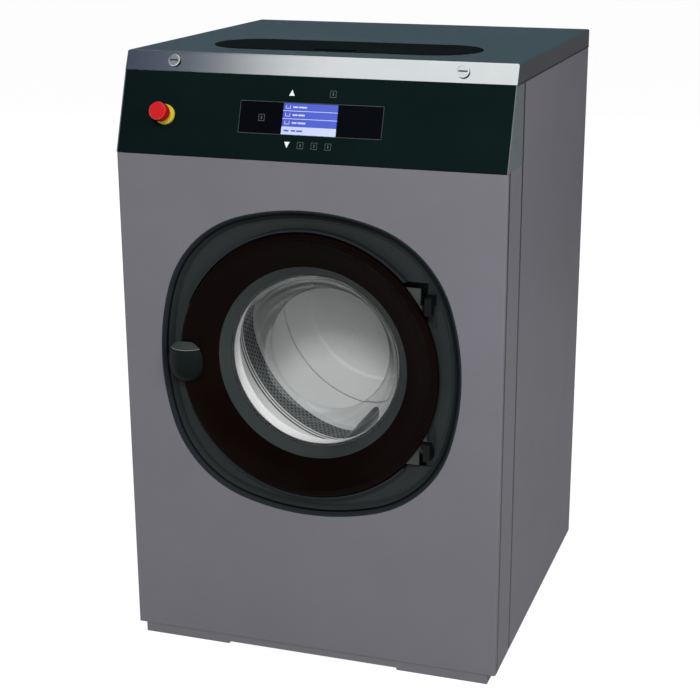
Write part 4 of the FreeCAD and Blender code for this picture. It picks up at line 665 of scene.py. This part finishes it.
def first_sight(tree, ray):
    """A factor that is 1 where the camera sees the backdrop, straight or by way of metal and glass."""
    through = add(tree, "ShaderNodeMath", links={0: ray["Is Camera Ray"], 1: ray["Is Transmission Ray"]},
                  operation="MAXIMUM")
    seen = add(tree, "ShaderNodeMath", links={0: through.outputs["Value"], 1: ray["Is Glossy Ray"]},
               operation="MAXIMUM")
    first = add(tree, "ShaderNodeMath", links={0: seen.outputs["Value"], 1: ray["Diffuse Depth"]},
                operation="SUBTRACT", use_clamp=True)
    return first.outputs["Value"]


def studio_world():
    """White where it is seen, and a softer light on matt surfaces, weakest on those behind the glass."""
    world = bpy.data.worlds.new("studio")
    bpy.context.scene.world = world
    world.use_nodes = True
    tree = world.node_tree
    tree.nodes.clear()
    ray = add(tree, "ShaderNodeLightPath").outputs
    shown = first_sight(tree, ray)
    white = add(tree, "ShaderNodeBackground", {"Color": WHITE, "Strength": BACKDROP_LIGHT})
    room = add(tree, "ShaderNodeBackground", {"Color": WHITE, "Strength": ROOM_LIGHT})
    dim = add(tree, "ShaderNodeBackground", {"Color": WHITE, "Strength": LIGHT_THROUGH_GLASS})
    light = add(tree, "ShaderNodeMixShader",
                links={"Fac": ray["Is Transmission Ray"], 1: room.outputs["Background"],
                       2: dim.outputs["Background"]})
    both = add(tree, "ShaderNodeMixShader",
               links={"Fac": shown, 1: light.outputs["Shader"], 2: white.outputs["Background"]})
    add(tree, "ShaderNodeOutputWorld", links={"Surface": both.outputs["Shader"]})


def pale_floor():
    """A floor that glows white where it is seen and still takes the machine's shadow. A disc under the
    machine doesn't glow, so that no white shows through the vents."""
    material, tree = new_material("pale_floor")
    shown = first_sight(tree, add(tree, "ShaderNodeLightPath").outputs)
    spot = add(tree, "ShaderNodeTexCoord").outputs["Object"]
    share = add(tree, "ShaderNodeVectorMath", {"Scale": 1 / DARK_RADIUS}, {"Vector": spot},
                operation="SCALE")
    distance = add(tree, "ShaderNodeVectorMath", links={"Vector": share.outputs["Vector"]},
                   operation="LENGTH")
    outside = add(tree, "ShaderNodeMath", links={0: distance.outputs["Value"]}, operation="FLOOR",
                  use_clamp=True)
    open_floor = add(tree, "ShaderNodeMath", links={0: shown, 1: outside.outputs["Value"]},
                     operation="MULTIPLY")
    glow = add(tree, "ShaderNodeEmission", {"Color": WHITE, "Strength": FLOOR_GLOW})
    shade = add(tree, "ShaderNodeBsdfDiffuse", {"Color": FLOOR_SHADE})
    white = add(tree, "ShaderNodeAddShader", links={0: glow.outputs["Emission"], 1: shade.outputs["BSDF"]})
    matt = add(tree, "ShaderNodeBsdfDiffuse", {"Color": linear("B8B8B8")})
    both = add(tree, "ShaderNodeMixShader",
               links={"Fac": open_floor.outputs["Value"], 1: matt.outputs["BSDF"],
                      2: white.outputs["Shader"]})
    add(tree, "ShaderNodeOutputMaterial", links={"Surface": both.outputs["Shader"]})
    return material


def studio_floor():
    """The floor that the machine stands on."""
    bpy.ops.mesh.primitive_plane_add(size=FLOOR_SIZE, location=(0, 0, 0))
    floor = bpy.context.object
    floor.name = "studio_floor"
    floor.data.materials.append(pale_floor())


studio_world()
studio_floor()

# Camera at the photograph's place: metres, degrees, and millimetres of sensor and lens
CAMERA_PLACE = (1.0242, -3.1126, 1.5747)
CAMERA_DOWN = 17.245
CAMERA_TURN = 18.02
SENSOR = 36
LENS = 79.16
SHIFT_X = -0.033
SHIFT_Y = 0.0034


def camera():
    """The camera that took the photograph, worked out from the cabinet's corners."""
    data = bpy.data.cameras.new("photo_camera")
    made = bpy.data.objects.new("photo_camera", data)
    bpy.context.scene.collection.objects.link(made)
    made.location = CAMERA_PLACE
    made.rotation_euler = (math.radians(90 - CAMERA_DOWN), 0, math.radians(CAMERA_TURN))
    data.sensor_width = SENSOR
    data.lens = LENS
    data.shift_x = SHIFT_X
    data.shift_y = SHIFT_Y
    bpy.context.scene.camera = made


def softbox(name, place, aim, size, watts, beam=180):
    """A soft lamp with a beam of so many degrees, which no surface mirrors."""
    data = bpy.data.lights.new(name, "AREA")
    data.shape = "RECTANGLE"
    data.size, data.size_y = size
    data.energy = watts
    data.spread = math.radians(beam)
    made = bpy.data.objects.new(name, data)
    bpy.context.scene.collection.objects.link(made)
    made.location = place
    made.rotation_euler = (Vector(aim) - Vector(place)).to_track_quat("-Z", "Y").to_euler()
    made.visible_camera = made.visible_glossy = made.visible_transmission = False


def flag(name, place, aim, size, code):
    """A coloured card out of the picture that only polished surfaces show."""
    bpy.ops.mesh.primitive_plane_add(size=1, location=place)
    card = bpy.context.object
    card.name = name
    card.scale = (size[0], size[1], 1)
    card.rotation_euler = (Vector(aim) - Vector(place)).to_track_quat("Z", "Y").to_euler()
    card.data.materials.append(surface(name + "_cloth", (code, code), (0.8, 0.9), 20))
    card.visible_camera = card.visible_diffuse = card.visible_transmission = card.visible_shadow = False


camera()
# Lamps: the main one above and behind the camera, fill for the sides and back, and a weak one in the drum
softbox("front_softbox", (1.3, -5.8, 4.2), (0, 0, 0.6), (1.2, 0.9), 236)
softbox("left_softbox", (-3.6, -1.6, 1.8), (0, 0, 0.6), (1.6, 2.4), 8)
softbox("far_left_softbox", (-4.6, 0.9, 2.4), (-0.4, 0, 0.6), (1.2, 1.2), 75)
softbox("rear_softbox", (-0.9, 5.6, 3.4), (0, 0.4, 0.6), (1.2, 0.9), 150)
softbox("right_softbox", (2.0, -1.7, 2.1), (0.4, -0.2, 0.8), (0.8, 0.8), 27)
softbox("drum_softbox", (0.13, -0.24, 0.80), (-0.14, -0.12, 0.46), (0.06, 0.06), 0.24, 80)
# Cards that the top, its lip and the bend between them mirror
flag("rear_flag", (0.5, 2.6, 2.8), (0.5, 0, 2.8), (11, 3.2), "3F5159")
flag("low_rear_flag", (0.5, 2.6, 0.6), (0.5, 0, 0.6), (11, 1.2), "4C4B4F")
flag("front_flag", (0, -6.5, 2.6), (0, 0, 2.6), (12, 5), "8A9598")
flag("lip_flag", (-2.95, -3.34, 3.7), (-2.95, -0.34, 1.225), (2.4, 2.4), "364662")
flag("bend_flag", (-4.7, -0.4, 5.0), (-4.7, -0.4, 0), (6, 5.6), "364662")

bpy.context.scene.view_settings.view_transform = "Standard"
